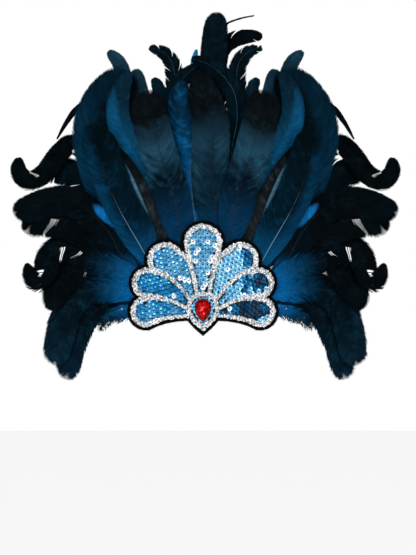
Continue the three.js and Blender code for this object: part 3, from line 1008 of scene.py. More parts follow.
SIDE_PLUMES = (
    Plume("outer_broad", 0, (16, 25),
          ((45, 9), (67, 51), (100, 110), (118, 160), (124, 182), (124, 195)),
          tip=Tip.BLUNT, swell=0.32, dye=Dye.PEACOCK, quill=Quill.PALE, clump=0.02),
    Plume("inner_broad", 0, (22, 19),
          ((19, 28), (28, 77), (34, 110), (51, 166), (61, 208), (62, 232)),
          tip=Tip.BLUNT, swell=0.32, dye=Dye.EARTH, quill=Quill.BROWN, clump=0.02),
    Plume("short_dark", 1, (16, 14),
          ((36, 20), (56, 83), (72, 121), (85, 149), (103, 175)),
          tip=Tip.POINT, swell=0.3, dye=Dye.BROWN, ragged=0.12),
    Plume("wing_upper", 1, (19, 16),
          ((47, 4), (89, 42), (105, 72), (124, 94), (147, 110), (172, 110), (194, 103), (215, 97)),
          tip=Tip.BLUNT, swell=0.4, dye=Dye.WING, splits=12.0, ragged=0.12),
    Plume("twisted", 2, (17, 12),
          ((33, 16), (47, 66), (63, 121), (76, 160), (92, 193), (95, 215), (90, 237), (83, 252)),
          swell=0.3, dye=Dye.SKY, quill=Quill.BLUE),
    Plume("wing_lower", 2, (22, 15),
          ((47, 2), (89, 35), (116, 66), (144, 84), (170, 90), (188, 88), (203, 75)),
          tip=Tip.BLUNT, swell=0.4, splits=14.0, clump=0.0, ragged=0.15),
    Plume("arched_broad", 3, (28, 24),
          ((43, 12), (88, 88), (114, 150), (121, 185), (117, 206), (108, 221), (96, 236), (82, 253)),
          tip=Tip.BLUNT, swell=0.3, dye=Dye.LAKE, clump=0.02),
    Plume("curl_upper", 3, (19, 16),
          ((48, 0), (94, 24), (127, 48), (156, 59), (173, 51), (181, 30), (188, 21), (194, 26), (200, 41)),
          tip=Tip.HOOKED, swell=0.35, splits=16.0, clump=0.03, ragged=0.15),
    Plume("blunt", 4, (14, 12),
          ((20, 22), (43, 110), (59, 176), (70, 215), (75, 235), (77, 257)),
          tip=Tip.BLUNT, swell=0.35, dye=Dye.SLATE, clump=0.02),
    Plume("whip", 4, (10, 9),
          ((43, 12), (96, 99), (114, 165), (119, 200), (131, 218), (144, 212), (155, 198), (166, 179)),
          tip=Tip.POINT, swell=0.3),
    Plume("curl_lower", 4, (20, 18),
          ((48, -3), (94, 15), (122, 30), (149, 31), (164, 17), (170, 0), (168, -13)),
          swell=0.35, splits=14.0, clump=0.08, ragged=0.18),
    Plume("horn", 5, (9.5, 9.5),
          ((36, 20), (61, 110), (83, 187), (89, 231), (91, 249), (97, 265), (109, 278)),
          tip=Tip.BLUNT, dye=Dye.SLATE),
    Plume("hook", 5, (13, 11),
          ((46, 8), (94, 77), (118, 132), (132, 165), (150, 175), (166, 162), (182, 141), (198, 134),
           (208, 142), (210, 160)),
          tip=Tip.BLUNT, splits=14.0, clump=0.06, ragged=0.12),
    Plume("ragged", 5, (12, 11),
          ((11, 26), (23, 110), (31, 176), (35, 220), (34, 246), (38, 265), (48, 276), (63, 281)),
          tip=Tip.ROUND, swell=0.4, dye=Dye.TEAL, quill=Quill.TEAL, splits=20.0, clump=0.3, ragged=0.35),
    Plume("drooping_outer", 5, (17, 18),
          ((48, -6), (89, 10), (118, 15), (141, 4), (155, -17), (162, -42), (167, -74)),
          tip=Tip.BLUNT, dye=Dye.DUSK, splits=14.0, clump=0.1, ragged=0.2),
    Plume("gapped", 6, (17, 18),
          ((46, 8), (105, 94), (125, 123), (138, 134), (151, 141), (163, 141), (176, 134)),
          tip=Tip.BLUNT, dye=Dye.TEAL, splits=12.0, clump=0.25, ragged=0.12),
    Plume("notched", 6, (9, 9),
          ((13, 22), (30, 110), (45, 187), (50, 220), (53, 237), (59, 247)),
          tip=Tip.BLUNT, swell=0.5, dye=Dye.SKY, splits=10.0, clump=0.1, ragged=0.2),
    Plume("drooping_inner", 6, (14, 18),
          ((47, -9), (83, 0), (108, -4), (129, -19), (142, -42), (150, -66), (154, -90)),
          tip=Tip.BLUNT, dye=Dye.DUSK, splits=14.0, clump=0.1, ragged=0.2),
)

MIDDLE_PLUMES = (
    Plume("middle_front", 1, (19, 24),
          ((9, 27), (13, 89), (8, 129), (8, 165), (8, 197), (1, 222), (-8, 253)),
          tip=Tip.ROUND, swell=0.32, dye=Dye.BARK, quill=Quill.BROWN, clump=0.03),
    Plume("middle_blue", 2, (17, 17),
          ((-3, 27), (-12, 89), (-16, 132), (-18.5, 170), (-25, 200), (-28, 222), (-24, 242)),
          swell=0.25, dye=Dye.BRIGHT, quill=Quill.PALE),
    Plume("crossing_right", 3, (12, 12),
          ((11, 26), (23, 99), (30, 172), (35, 200), (32, 228), (20, 247), (4, 260), (-16, 267)),
          tip=Tip.ROUND, dye=Dye.TEAL, quill=Quill.TEAL, ragged=0.12),
    Plume("crossing_left", 4, (12, 12),
          ((-10, 26), (-23, 99), (-33, 165), (-37, 197), (-36, 227), (-25, 245), (-6, 262)),
          tip=Tip.ROUND, dye=Dye.TEAL, quill=Quill.TEAL, ragged=0.12),
    Plume("crest", 5, (14, 16),
          ((2, 27), (4, 110), (6, 198), (8, 248), (10, 274), (12, 299), (13, 321)),
          tip=Tip.PADDLE, swell=0.5, dye=Dye.TEAL, clump=0.02),
    Plume("crest_barred", 6, (10, 10),
          ((9, 27), (14, 110), (15, 198), (14, 248), (18, 278), (31, 290), (47, 294), (64, 295)),
          tip=Tip.BLUNT, swell=0.6, splits=24.0, clump=0.55, ragged=0.15),
    Plume("crest_blue", 6, (6, 12), ((-4, 27), (-3, 165), (-6, 231), (-11, 262), (-10, 279)),
          tip=Tip.HOOKED, swell=0.5, dye=Dye.AZURE, ragged=0.2),
    Plume("crest_spike", 7, (2.6, 2.6),
          ((4, 27), (9, 110), (10, 198), (9, 253), (13, 290), (23, 308), (38, 315), (55, 319)),
          tip=Tip.POINT, swell=0.5, ragged=0.6),
)

TUFT_LOCKS = tuple(
    replace(lock, dye=Dye.FLUFF, quill=Quill.BLUE, splits=16.0, clump=0.3, ragged=0.5, frizz=0.004, lean=1.5)
    for lock in (
        Plume("upper", 0, (15, 15), ((47, -2), (85, 26), (111, 38), (134, 44)), swell=0.6),
        Plume("middle", 0, (16, 16), ((47, -2), (85, 9), (112, 13), (138, 10)), swell=0.6),
        Plume("lower", 0, (7, 7), ((47, -2), (83, -10), (104, -18), (119, -34)), swell=0.5),
        Plume("short", 0, (6, 6), ((47, -2), (85, -15), (107, -24)), swell=0.5)))

SLOTS = {
    "feather_ink": (Dye.INK, Dye.WING, Dye.DUSK),
    "feather_teal": (Dye.TEAL, Dye.SLATE, Dye.EARTH, Dye.BARK, Dye.LAKE),
    "feather_brown": (Dye.BROWN,),
    "feather_blue": (Dye.PEACOCK, Dye.SKY, Dye.BRIGHT, Dye.AZURE),
}


@dataclass
class PlumeTree:
    """The node tree that grows one plume along its line: a quill, and barbs on both sides of it.

    Along a barb, t runs from 0 at the quill to 1 at its tip. Along the blade, v runs from 0 to 1.
    """

    quill_stations: int = 70
    quill_corners: int = 6
    quill_taper: Pair = (0.7, 0.82)
    barb_stations: int = 6
    barb_thickness: float = 0.00016
    barb_cover: float = 0.85
    barb_crowding: float = 1.35
    barb_roll: float = 0.35
    barb_lift: float = 0.0003
    barb_flare: float = 0.3
    barb_end: Pair = (14.0, 0.85)
    barb_sweep: float = 1.5
    barb_reach: float = 0.88
    spread: float = 45.0
    opening_power: float = 0.8
    split_contrast: float = 5.0
    split_bias: float = 2.0
    wear: tuple[float, float, float] = (0.3, 0.6, 0.4)
    wear_rise: float = 4.0
    roll_draw: float = 7.31
    wear_draw: float = 3.77
    split_draws: Pair = (1.7, 31.0)
    frizz_scale: float = 260.0
    frizz_step: float = 0.0004
    curl_room: float = 0.8
    turn_step: float = 0.002

    def __post_init__(self) -> None:
        """Builds the tree."""
        graph = Graph.growth("plume_growth", Int="Barbs", Material="Vane, Quill", Float=(
            "Right Half, Left Half, Swell, Tip Power, Tip Root, Layer Place, Barb Lean, Splits, Clump, "
            "Ragged, Frizz, Inner Side, Seed"))
        self.graph = graph
        self.spine = graph.line_from(graph.take("Geometry"))
        self.length = Field(graph, graph.node("GeometryNodeCurveLength", {0: self.spine}).outputs[0])
        self.blade = self.length - QUILL_BARE
        horn = graph.painted(graph.real(graph.together(self.quill(), self.barbs())), "Quill")
        graph.finish(graph.painted(horn, "Vane", graph.kept("barb", "FLOAT")))

    def at(self, station: Field) -> tuple[Field, Field, Field, Field]:
        """Where the line is at a length.

        Args:
            station: Length from the line's foot.

        Returns:
            Its x and z, and the x and z of its direction.
        """
        node = self.graph.node("GeometryNodeSampleCurve", {
            "Curves": self.spine, "Length": station}, mode="LENGTH")
        x, _, z = self.graph.split(node.outputs["Position"])
        along, _, up = self.graph.split(node.outputs["Tangent"])
        return x, z, along, up

    def quill(self) -> Socket:
        """The tapered quill.

        Returns:
            Its mesh, which keeps the share along the quill.
        """
        graph = self.graph
        x, _, z = graph.position()
        share = Field(graph, graph.node("GeometryNodeSplineParameter").outputs["Factor"])
        deep = CROWN.depth(graph, x, z, graph.take("Layer Place"), share * 0.0)
        even = graph.evened(self.spine, self.quill_stations)
        line = graph.keep(even, "vane", graph.vector(share, 0.0, 0.5))
        power, cut = self.quill_taper
        radius = (1.0 - share ** power * cut) * QUILL_HALF
        return graph.swept(graph.moved(line, x, deep, z), graph.circle(self.quill_corners), smooth=True,
                           scale=radius, fill_caps=True)

    def template(self) -> Socket:
        """One barb of unit size along X, three-sided."""
        graph = self.graph
        line = graph.node("GeometryNodeCurvePrimitiveLine", {"Start": (0, 0, 0), "End": (1, 0, 0)})
        even = graph.evened(line.outputs[0], self.barb_stations)
        return graph.swept(even, graph.circle(3), fill_caps=True)

    def width(self, share: Field, side: Field) -> Field:
        """Width of the blade on one side.

        Args:
            share: Share of the blade's length.
            side: 1 on the right, -1 on the left.

        Returns:
            The width in metres.
        """
        right, left, swell, power, root = self.graph.take("Right Half", "Left Half", "Swell", "Tip Power",
                                                          "Tip Root")
        half = left + (right - left) * (side * 0.5 + 0.5)
        opening = self.graph.math("SINE", (share / swell).least(1.0) * (math.pi / 2)) ** self.opening_power
        closing = (1.0 - share ** power).most(0.0) ** root
        return (half - QUILL_HALF) * opening * closing + QUILL_HALF

    def room(self, share: Field, side: Field) -> Field:
        """Room on the inside of a curl, and a wide one elsewhere.

        Args:
            share: Share of the blade's length.
            side: 1 on the right, -1 on the left.

        Returns:
            How wide a barb may be there.
        """
        station = self.blade * share + QUILL_BARE
        _, _, ahead_x, ahead_z = self.at(station + self.turn_step)
        _, _, behind_x, behind_z = self.at(station - self.turn_step)
        turn = behind_z * ahead_x - behind_x * ahead_z
        return self.curl_room * 2 * self.turn_step / (turn * side).most(0.0001)

    def bunches(self, v: Field, side: Field) -> tuple[Field, Field]:
        """Parts the vane into bunches of barbs, so that it splits between them.

        Args:
            v: Share of the blade's length at which a barb ends.
            side: 1 on the right, -1 on the left.

        Returns:
            How far the barb's end is pulled along the blade, and a number that is the bunch's own.
        """
        graph = self.graph
        cells, clump, seed = graph.take("Splits", "Clump", "Seed")
        by_seed, by_side = self.split_draws
        start = seed * by_seed + side * by_side
        cell = graph.node("ShaderNodeTexVoronoi", {"W": v * cells + start, "Scale": 1.0, "Randomness": 1.0},
                          voronoi_dimensions="1D")
        bunch, _, _ = graph.split(cell.outputs["Color"])
        centre = (Field(graph, cell.outputs["W"]) - start) / cells
        part = (bunch.swing(self.split_contrast) + clump * self.split_bias).held()
        return (centre - v) * clump * part, bunch

    def barbs(self) -> Socket:
        """All barbs of both sides, placed on the vane.

        Returns:
            Their mesh, which keeps each point's share along and across the blade.
        """
        graph = self.graph
        count, seed, ragged, frizz_size = graph.take("Barbs", "Seed", "Ragged", "Frizz")
        line = graph.node("GeometryNodeMeshLine", {"Count": count * 2.0, "Offset": (0, 0, 0)}).outputs[0]
        real = graph.copies(graph.keep(line, "barb", graph.index() + 1.0, "FLOAT"), self.template())

        t, across, thick = graph.position()
        barb = graph.kept("barb", "FLOAT") - 1.0
        side = 1.0 - (barb % 2.0) * 2.0
        v = 1.0 - (1.0 - ((barb / 2.0).whole() + 0.5) / count) ** self.barb_crowding
        chance = graph.chance(barb + seed * self.roll_draw)
        second = graph.chance(barb + seed * self.wear_draw + 0.5)
        pull, bunch = self.bunches(v, side)

        spare, barb_wear, bunch_wear = self.wear
        bunch_cut = bunch * bunch_wear * (v * self.wear_rise).least(1.0)
        worn = 1.0 + ragged * (spare - second * second * barb_wear - bunch_cut)
        width = self.width(v, side).least(self.room(v, side))
        t_worn = t * worn
        root = (v - graph.take("Barb Lean") * width / self.blade).most(0.0)
        share = root + (v + pull - root) * t_worn ** self.barb_sweep
        end_power, end_cut = self.barb_end
        taper = (1.0 + t * (width * self.spread + self.barb_flare)) * (1.0 - t ** end_power * end_cut)
        step = self.blade / count * self.barb_cover
        station = (self.blade * share + across * step * taper + QUILL_BARE).least(self.length)
        lateral = side * width * t_worn ** self.barb_reach
        x, z, along, up = self.at(station)
        flat_x = x + lateral * up
        flat_z = z - lateral * along

        drift = graph.noise(graph.vector(flat_x, barb * self.frizz_step, flat_z), self.frizz_scale, 1.0)
        drift_x, drift_y, drift_z = graph.split(drift.outputs["Color"])
        frizz = frizz_size * t * 2.0
        new_x = flat_x + drift_x.swing(frizz)
        new_z = flat_z + drift_z.swing(frizz)
        roll = chance.swing(self.barb_roll)
        lift = thick * self.barb_thickness + across * step * taper * roll + second.swing(self.barb_lift)
        deep = CROWN.depth(graph, new_x, new_z, graph.take("Layer Place"), lateral)
        new_y = deep + lift + drift_y.swing(frizz) * 0.5
        half = graph.take("Right Half").most(graph.take("Left Half"))
        mark = graph.vector(share, lateral / half * graph.take("Inner Side"), v)
        return graph.moved(graph.keep(real, "vane", mark), new_x, new_y, new_z)


@dataclass
class PlumeFan:
    """All plumes that stand in the pad."""

    tree: PlumeTree
    barb_pitch: float = 0.00085

    def grow_plume(self, name: str, plume: Plume, side: int, seed: float) -> bpy.types.Object:
        """Grows one plume.

        Args:
            name: Name of the piece.
            plume: Its row in the table.
            side: 1 on the right, -1 on the left.
            seed: Number that its wear depends on.

        Returns:
            The plume as a plain mesh.
        """
        path = smooth_path([(FAN_SHIFT + side * out * MM, up * MM) for out, up in plume.points])
        length = float(np.hypot(*np.diff(path, axis=0).T).sum())
        host = mesh_of(name, [(x, 0.0, z) for x, z in path], [(i, i + 1) for i in range(len(path) - 1)])
        outer, inner = (half * MM for half in plume.halves)
        right, left = (outer, inner) if side > 0 else (inner, outer)
        power, root = plume.tip.value
        return grow(name, self.tree.graph, {
            "Barbs": round((length - QUILL_BARE) / self.barb_pitch), "Right Half": right, "Left Half": left,
            "Swell": plume.swell, "Tip Power": power, "Tip Root": root, "Barb Lean": plume.lean,
            "Layer Place": plume.layer - (CROWN.layers - 1) / 2, "Splits": plume.splits,
            "Clump": plume.clump, "Ragged": plume.ragged, "Frizz": plume.frizz, "Inner Side": float(-side),
            "Seed": seed, "Vane": plume.dye.value.material(), "Quill": plume.quill.value.material()}, host)

    def rows(self) -> Iterator[tuple[str, Plume, int]]:
        """The node, the row and the side of every plume, in the order of their seeds."""
        for label, side in SIDES.items():
            yield from ((f"{plume.name}_{label}", plume, side) for plume in SIDE_PLUMES)
        yield from ((plume.name, plume, SIDES["right"]) for plume in MIDDLE_PLUMES)

    def build(self) -> None:
        """Grows every plume and hides its solid."""
        for seed, (node, plume, side) in enumerate(self.rows(), start=1):
            slot = next(slot for slot, dyes in SLOTS.items() if plume.dye in dyes)
            attach(self.grow_plume(f"{node}_plume", plume, side, float(seed)), slot, node)


@dataclass
class HackleTufts(PlumeFan):
    """The fluffy tufts at both sides, each of several locks in one piece."""

    barb_pitch: float = 0.0006
    first_seed: float = 71.0

    def build(self) -> None:
        """Grows the locks of each side and joins them."""
        for label, side in SIDES.items():
            locks = [self.grow_plume(f"lock_{label}_{i}", lock, side, self.first_seed + i + side)
                     for i, lock in enumerate(TUFT_LOCKS)]
            attach(joined(f"hackle_tuft_{label}_plume", locks), "feather_hackle", f"hackle_tuft_{label}")


# Applique

@dataclass(frozen=True)
class Petal:
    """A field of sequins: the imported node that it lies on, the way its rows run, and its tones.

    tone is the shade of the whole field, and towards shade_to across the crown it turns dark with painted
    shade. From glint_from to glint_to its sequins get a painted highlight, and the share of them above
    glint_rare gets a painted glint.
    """

    node: str
    centre: Pair
    turn: float
    tone: float = 0.1
    shade: float = 0.0
    shade_from: float = 0.0
    shade_to: float = 0.1
    glint_from: Pair = (0.0, 0.0)
    glint_to: Pair = (0.0, 0.001)
    glint_half: float = 0.0
    glint_rare: float = 0.9

    def inputs(self) -> dict[str, object]:
        """What the tree of sequin rows takes from the petal.

        Returns:
            A value for each of the tree's inputs that the petal knows.
        """
        spots = {"Centre": self.centre, "Glint From": self.glint_from, "Glint To": self.glint_to}
        return {"Petal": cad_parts[self.node], "Turn": math.radians(self.turn), "Tone": self.tone,
                "Shade": self.shade, "Shade From": self.shade_from, "Shade To": self.shade_to,
                "Glint Half": self.glint_half, "Glint Rare": self.glint_rare,
                **{label: (x, 0.0, z) for label, (x, z) in spots.items()}}


# The shade and glint values paint shade and highlights into the sequins' tones.
PETALS = (
    Petal("petal_centre", (0.0, 0.045), 0.0, 0.22,
          glint_from=(0.011, 0.047), glint_to=(0.003, 0.014), glint_half=0.0036, glint_rare=0.35),
    Petal("petal_upper_left", (-0.035, 0.035), -42.0, 0.26),
    Petal("petal_upper_right", (0.035, 0.035), 42.0, 0.08, 0.7, 0.043, 0.053),
    Petal("petal_middle_left", (-0.05, 0.012), -75.0, 0.5),
    Petal("petal_middle_right", (0.05, 0.012), 75.0, 0.14, 0.72, 0.036, 0.054,
          glint_from=(0.036, 0.0035), glint_to=(0.072, 0.0105), glint_half=0.0023),
    Petal("petal_lower_left", (-0.048, -0.014), -95.0, 0.42),
    Petal("petal_lower_right", (0.048, -0.014), 95.0, 0.22, 0.68, 0.022, 0.042,
          glint_from=(0.064, -0.022), glint_to=(0.074, -0.018), glint_half=0.0025),
    Petal("medallion", (0.0, -0.01), 0.0, 0.15),
)


@dataclass(frozen=True)
class Sequin:
    """A cupped disc with a hole in its middle, its hollow towards +Z."""

    radius: float
    hole: float
    film: float
    cup: float
    corners: int

    def shape(self, graph: Graph) -> Socket:
        """Sweeps the film's section, tilted by the cup's angle, round the hole.

        Args:
            graph: The tree that it is added to.

        Returns:
            Its mesh.
        """
        strip = graph.node("GeometryNodeCurvePrimitiveQuadrilateral", {
            "Width": self.radius - self.hole, "Height": self.film})
        tilted = graph.node("GeometryNodeTransform", {
            "Geometry": strip.outputs[0], "Rotation": (0.0, 0.0, self.cup)})
        return graph.swept(graph.circle(self.corners, (self.radius + self.hole) / 2), tilted.outputs[0])


def scattered(graph: Graph, points: Socket, shape: Socket, tilt: float, tone: Field,
              chosen: object = True) -> Socket:
    """Puts a shape on each point, turned towards the point's kept facing and tilted by chance.

    Args:
        graph: The tree, which has an input named Seed.
        points: The points.
        shape: What stands on them, with its front towards +Z.
        tilt: How far the direction may lean.
        tone: Value kept with each shape for its finish.
        chosen: Which points count.

    Returns:
        The shapes in one mesh.
    """
    seed = graph.index() + graph.take("Seed")
    leant = [part + graph.chance(seed + 0.17 * i).swing(tilt)
             for i, part in enumerate(graph.split(graph.kept("facing")), start=1)]
    turned = graph.node("FunctionNodeAlignRotationToVector", {"Vector": graph.vector(*leant)}, axis="Z")
    return graph.copies(graph.keep(points, "tone", tone, "FLOAT"), shape, rotation=turned.outputs[0],
                        selection=chosen)


def strewn(graph: Graph, ground: str, facing: Field, below: float, **density: float) -> Socket:
    """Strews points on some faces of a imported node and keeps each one's facing.

    Args:
        graph: The tree.
        ground: The input that holds the node.
        facing: A value of each face.
        below: The points lie where that value is below this one.
        **density: density, or distance_min and density_max for points that keep a distance.

    Returns:
        The points.
    """
    chosen = graph.node("FunctionNodeCompare", {0: facing, 1: below}, operation="LESS_THAN").outputs[0]
    node = graph.node("GeometryNodeDistributePointsOnFaces", {
        "Mesh": graph.object_mesh(ground), "Selection": chosen, **titled(density)},
        distribute_method="POISSON" if len(density) > 1 else "RANDOM")
    return graph.keep(node.outputs["Points"], "facing", node.outputs["Normal"])


@dataclass
class SequinRows:
    """The node tree that lays sequins in rows on a packed petal."""

    sequin: Sequin = Sequin(radius=0.0029, hole=0.0008, film=0.00012, cup=0.2, corners=10)
    pitch: float = 0.0053
    row_share: float = 0.8
    rows: int = 18
    drift: float = 0.14
    knot: float = 0.001
    knot_top: float = 0.7
    knot_height: float = 0.0005
    tilt: float = 0.13
    lift: float = 0.0004
    ray_start: float = -0.2
    ray_length: float = 0.4
    cloud_scale: float = 70.0
    shade_uneven: Pair = (3.0, 0.9)
    patch_from: float = 0.45
    patch_gain: float = 2.0
    patch_depth: float = 0.3
    tone_scatter: float = 0.26
    darkest: float = 0.9
    shine_from: float = 0.62
    shine_gain: float = 6.0
    shine_most: float = 0.3
    shine_least: float = 0.025

    def tree(self) -> Graph:
        """Builds the tree: a grid of rays finds the petal, and each hit gets a sequin.

        Returns:
            The tree, with its inputs named.
        """
        graph = Graph.growth(
            "sequin_rows", Object="Petal", Vector="Centre, Glint From, Glint To", Material="Film, Thread",
            Float="Turn, Tone, Shade, Shade From, Shade To, Glint Half, Glint Rare, Seed")
        grid = graph.node("GeometryNodeMeshLine", {"Count": self.rows ** 2, "Offset": (0, 0, 0)}).outputs[0]
        ray = graph.node("GeometryNodeRaycast", {
            "Target Geometry": graph.object_mesh("Petal"), "Ray Direction": (0, 1, 0),
            "Ray Length": self.ray_length})
        x, z = self.spots(graph)
        held = graph.moved(grid, x, self.ray_start, z)
        held = graph.keep(held, "spot", ray.outputs["Hit Position"])
        held = graph.keep(held, "facing", ray.outputs["Hit Normal"])
        held = graph.keep(held, "on_petal", ray.outputs["Is Hit"], "BOOLEAN")
        spot_x, spot_y, spot_z = graph.split(graph.kept("spot"))
        landed = graph.moved(held, spot_x, spot_y - self.lift, spot_z)
        knot = graph.keep(graph.cone(6, self.knot, self.knot_top, self.knot_height), "thread", 1.0, "FLOAT")
        sewn = scattered(graph, landed, graph.together(self.sequin.shape(graph), knot), self.tilt,
                         self.tone(graph), graph.kept("on_petal", "BOOLEAN"))
        film = graph.painted(sewn, "Film")
        return graph.finish(graph.painted(film, "Thread", graph.kept("thread", "FLOAT")))

    def spots(self, graph: Graph) -> tuple[Field, Field]:
        """Lays out the grid: staggered rows, a little uneven, turned to the petal's direction.

        Args:
            graph: The tree.

        Returns:
            Place across and height of each point.
        """
        index = graph.index()
        seed, turn = graph.take("Seed", "Turn")
        row = (index / float(self.rows)).whole()
        column = index % float(self.rows)
        middle = (self.rows - 1) / 2
        u = (column - middle + (row % 2.0) * 0.5 + graph.chance(index + seed).swing(self.drift)) * self.pitch
        row_pitch = self.pitch * self.row_share
        w = (row - middle + graph.chance(index + seed + 0.3).swing(self.drift)) * row_pitch
        sine, cosine = graph.math("SINE", turn), graph.math("COSINE", turn)
        centre_x, _, centre_z = graph.split(graph.take("Centre"))
        return centre_x + u * cosine + w * sine, centre_z + w * cosine - u * sine

    def glints(self, graph: Graph, x: Field, z: Field) -> Field:
        """Finds the strip where the sequins catch the light.

        Args:
            graph: The tree.
            x: Place across.
            z: Height.

        Returns:
            1 within the strip and 0 elsewhere.
        """
        start_x, _, start_z = graph.split(graph.take("Glint From"))
        end_x, _, end_z = graph.split(graph.take("Glint To"))
        run_x, run_z = end_x - start_x, end_z - start_z
        share = (((x - start_x) * run_x + (z - start_z) * run_z) / (run_x * run_x + run_z * run_z)).held()
        away_x = x - start_x - share * run_x
        away_z = z - start_z - share * run_z
        half = graph.take("Glint Half")
        return graph.math("LESS_THAN", away_x * away_x + away_z * away_z, half * half)

    def tone(self, graph: Graph) -> Field:
        """Tones the sequins: bright in the middle of the crown, darker in patches and on shaded petals.

        Args:
            graph: The tree.

        Returns:
            0 for bright, 0.9 for dark and 1 for a glint.
        """
        place = graph.node("GeometryNodeInputPosition").outputs[0]
        x, _, z = graph.split(place)
        seed = graph.index() + graph.take("Seed")
        cloud = graph.cloud(place, self.cloud_scale, 2.0)
        own, shading, start, end = graph.take("Tone", "Shade", "Shade From", "Shade To")
        by_cloud, by_chance = self.shade_uneven
        # Painted shade: darker across the crown from Shade From to Shade To.
        shade = (x - start) / (end - start) + cloud.swing(by_cloud)
        shade = (shade + graph.chance(seed + 0.35).swing(by_chance)).held() * shading
        patch = ((cloud - self.patch_from) * self.patch_gain).held() * self.patch_depth
        scatter = graph.chance(seed + 0.7).swing(self.tone_scatter)
        tone = (own + patch + scatter + shade).held() * self.darkest
        # Painted glints, more where the cloud is high and none in painted shade.
        shine = ((cloud - self.shine_from) * self.shine_gain).held() * self.shine_most + self.shine_least
        glint = graph.math("GREATER_THAN", shine * (1.0 - shade).held(), graph.chance(seed + 0.55))
        # The strip of painted highlight: bright sequins, some of them painted glints.
        strip = self.glints(graph, x, z)
        lit = strip * graph.math("GREATER_THAN", graph.chance(seed + 0.15), graph.take("Glint Rare"))
        tone = tone * (1.0 - strip)
        return tone + (1.0 - tone) * glint.most(lit)


@dataclass
class TrimCrust:
    """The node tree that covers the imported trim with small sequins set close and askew."""

    sequin: Sequin = Sequin(radius=0.00135, hole=0.0004, film=0.0001, cup=0.5, corners=7)
    spacing: float = 0.00125
    density: float = 900000.0
    tilt: float = 1.1
    front: float = -0.35
    brightness: float = 2.2

    def tree(self) -> Graph:
        """Builds the tree.

        Returns:
            The tree, with its inputs named.
        """
        graph = Graph.growth("trim_crust", Object="Trim", Float="Seed", Material="Film")
        _, facing, _ = graph.split(graph.node("GeometryNodeInputNormal").outputs[0])
        points = strewn(graph, "Trim", facing, self.front, distance_min=self.spacing,
                        density_max=self.density)
        # A random tone for each sequin paints its reflection: mostly bright, some darker, a few painted
        # glints.
        tone = graph.chance(graph.index() + graph.take("Seed") + 0.9) ** self.brightness
        crust = scattered(graph, points, self.sequin.shape(graph), self.tilt, tone)
        return graph.finish(graph.painted(crust, "Film"))


@dataclass
class FeltFuzz:
    """The node tree that stands short wool fibres on the felt's cut edge."""

    length: float = 0.0016
    radius: float = 0.00007
    top: float = 0.3
    density: float = 900000.0
    tilt: float = 1.6
    edge: float = 0.3

    def tree(self) -> Graph:
        """Builds the tree.

        Returns:
            The tree, with its inputs named.
        """
        graph = Graph.growth("felt_fuzz", Object="Felt", Float="Seed", Material="Wool")
        _, facing, _ = graph.split(graph.node("GeometryNodeInputNormal").outputs[0])
        points = strewn(graph, "Felt", facing.size(), self.edge, density=self.density)
        hair = graph.cone(3, self.radius, self.top, self.length)
        fuzz = scattered(graph, points, hair, self.tilt, graph.chance(graph.index() + 0.4))
        return graph.finish(graph.painted(fuzz, "Wool"))


@dataclass(frozen=True)
class Facets:
    """A row of the stone's facets: its corners, and how bright their painted reflection is.

    share is the row's share of the girdle, height is over the felt, and turned rows have their
    corners halfway between those of the other rows.
    """

    share: float
    height: float
    turned: bool
    brightness: float


@dataclass
class RedStone:
    """A closed pear cut: a back, a girdle, rows of crown facets, and a table with foil behind it, split into
    flat facets. Painted reflections make the facets bright or dark.
    """

    centre: Pair = (0.0, -0.008)
    half: float = 0.009
    head: float = 0.0095
    foot: float = 0.016
    taper: float = 1.5
    corners: int = 16
    back_brightness: float = 0.2
    sparkle: float = 0.3
    darkest: float = 0.02
    brightest: float = 0.92
    seed: int = 12
    # The painted reflections grow brighter towards the table.
    rows: tuple[Facets, ...] = (
        Facets(0.8, 0.0039, False, 0.2), Facets(0.97, 0.0047, False, 0.2), Facets(1.0, 0.0053, False, 0.15),
        Facets(0.86, 0.0071, True, 0.3), Facets(0.68, 0.0086, False, 0.38), Facets(0.54, 0.0092, True, 0.5),
        Facets(0.28, 0.00925, False, 0.72), Facets(0.04, 0.0093, True, 0.7))

    def pear(self, share: float, turn: float) -> Pair:
        """A point of the stone's outline, scaled towards its middle.

        Args:
            share: 1 on the girdle, 0 in the middle.
            turn: Angle round the stone.

        Returns:
            Place across and up.
        """
        across, up = math.cos(turn), math.sin(turn)
        if up < 0:
            across = math.copysign(abs(across) ** self.taper, across)
        height = up * (self.foot if up < 0 else self.head)
        return self.centre[0] + share * self.half * across, self.centre[1] + share * height

    def build(self) -> None:
        """Cuts the stone, with a painted reflection for each facet."""
        points = []
        for row in self.rows:
            for i in range(self.corners):
                x, z = self.pear(row.share, 2 * math.pi * (i + row.turned / 2) / self.corners)
                points.append((x, CROWN.felt_back - row.height, z))
        faces, shades = [], []
        rng = np.random.default_rng(self.seed)
        for ring, row in enumerate(self.rows[1:]):
            start, end = ring * self.corners, (ring + 1) * self.corners
            for i in range(self.corners):
                after = (i + 1) % self.corners
                if row.turned:
                    faces += [(start + i, start + after, end + i), (start + after, end + after, end + i)]
                else:
                    faces += [(start + i, start + after, end + after), (start + i, end + after, end + i)]
                sparkle = rng.uniform(-self.sparkle, self.sparkle, 2)
                shades += list(np.clip(row.brightness + sparkle, self.darkest, self.brightest))
        faces += caps(len(self.rows), self.corners)
        stone = solid("red_stone_cut", points, faces, StoneFinish())
        # The table's middle gets a painted glint.
        shades += [self.back_brightness, 1.0]
        stone.data.attributes.new("facet", "FLOAT", "FACE").data.foreach_set("value", shades)
        attach(stone, "stone_red", "red_stone")


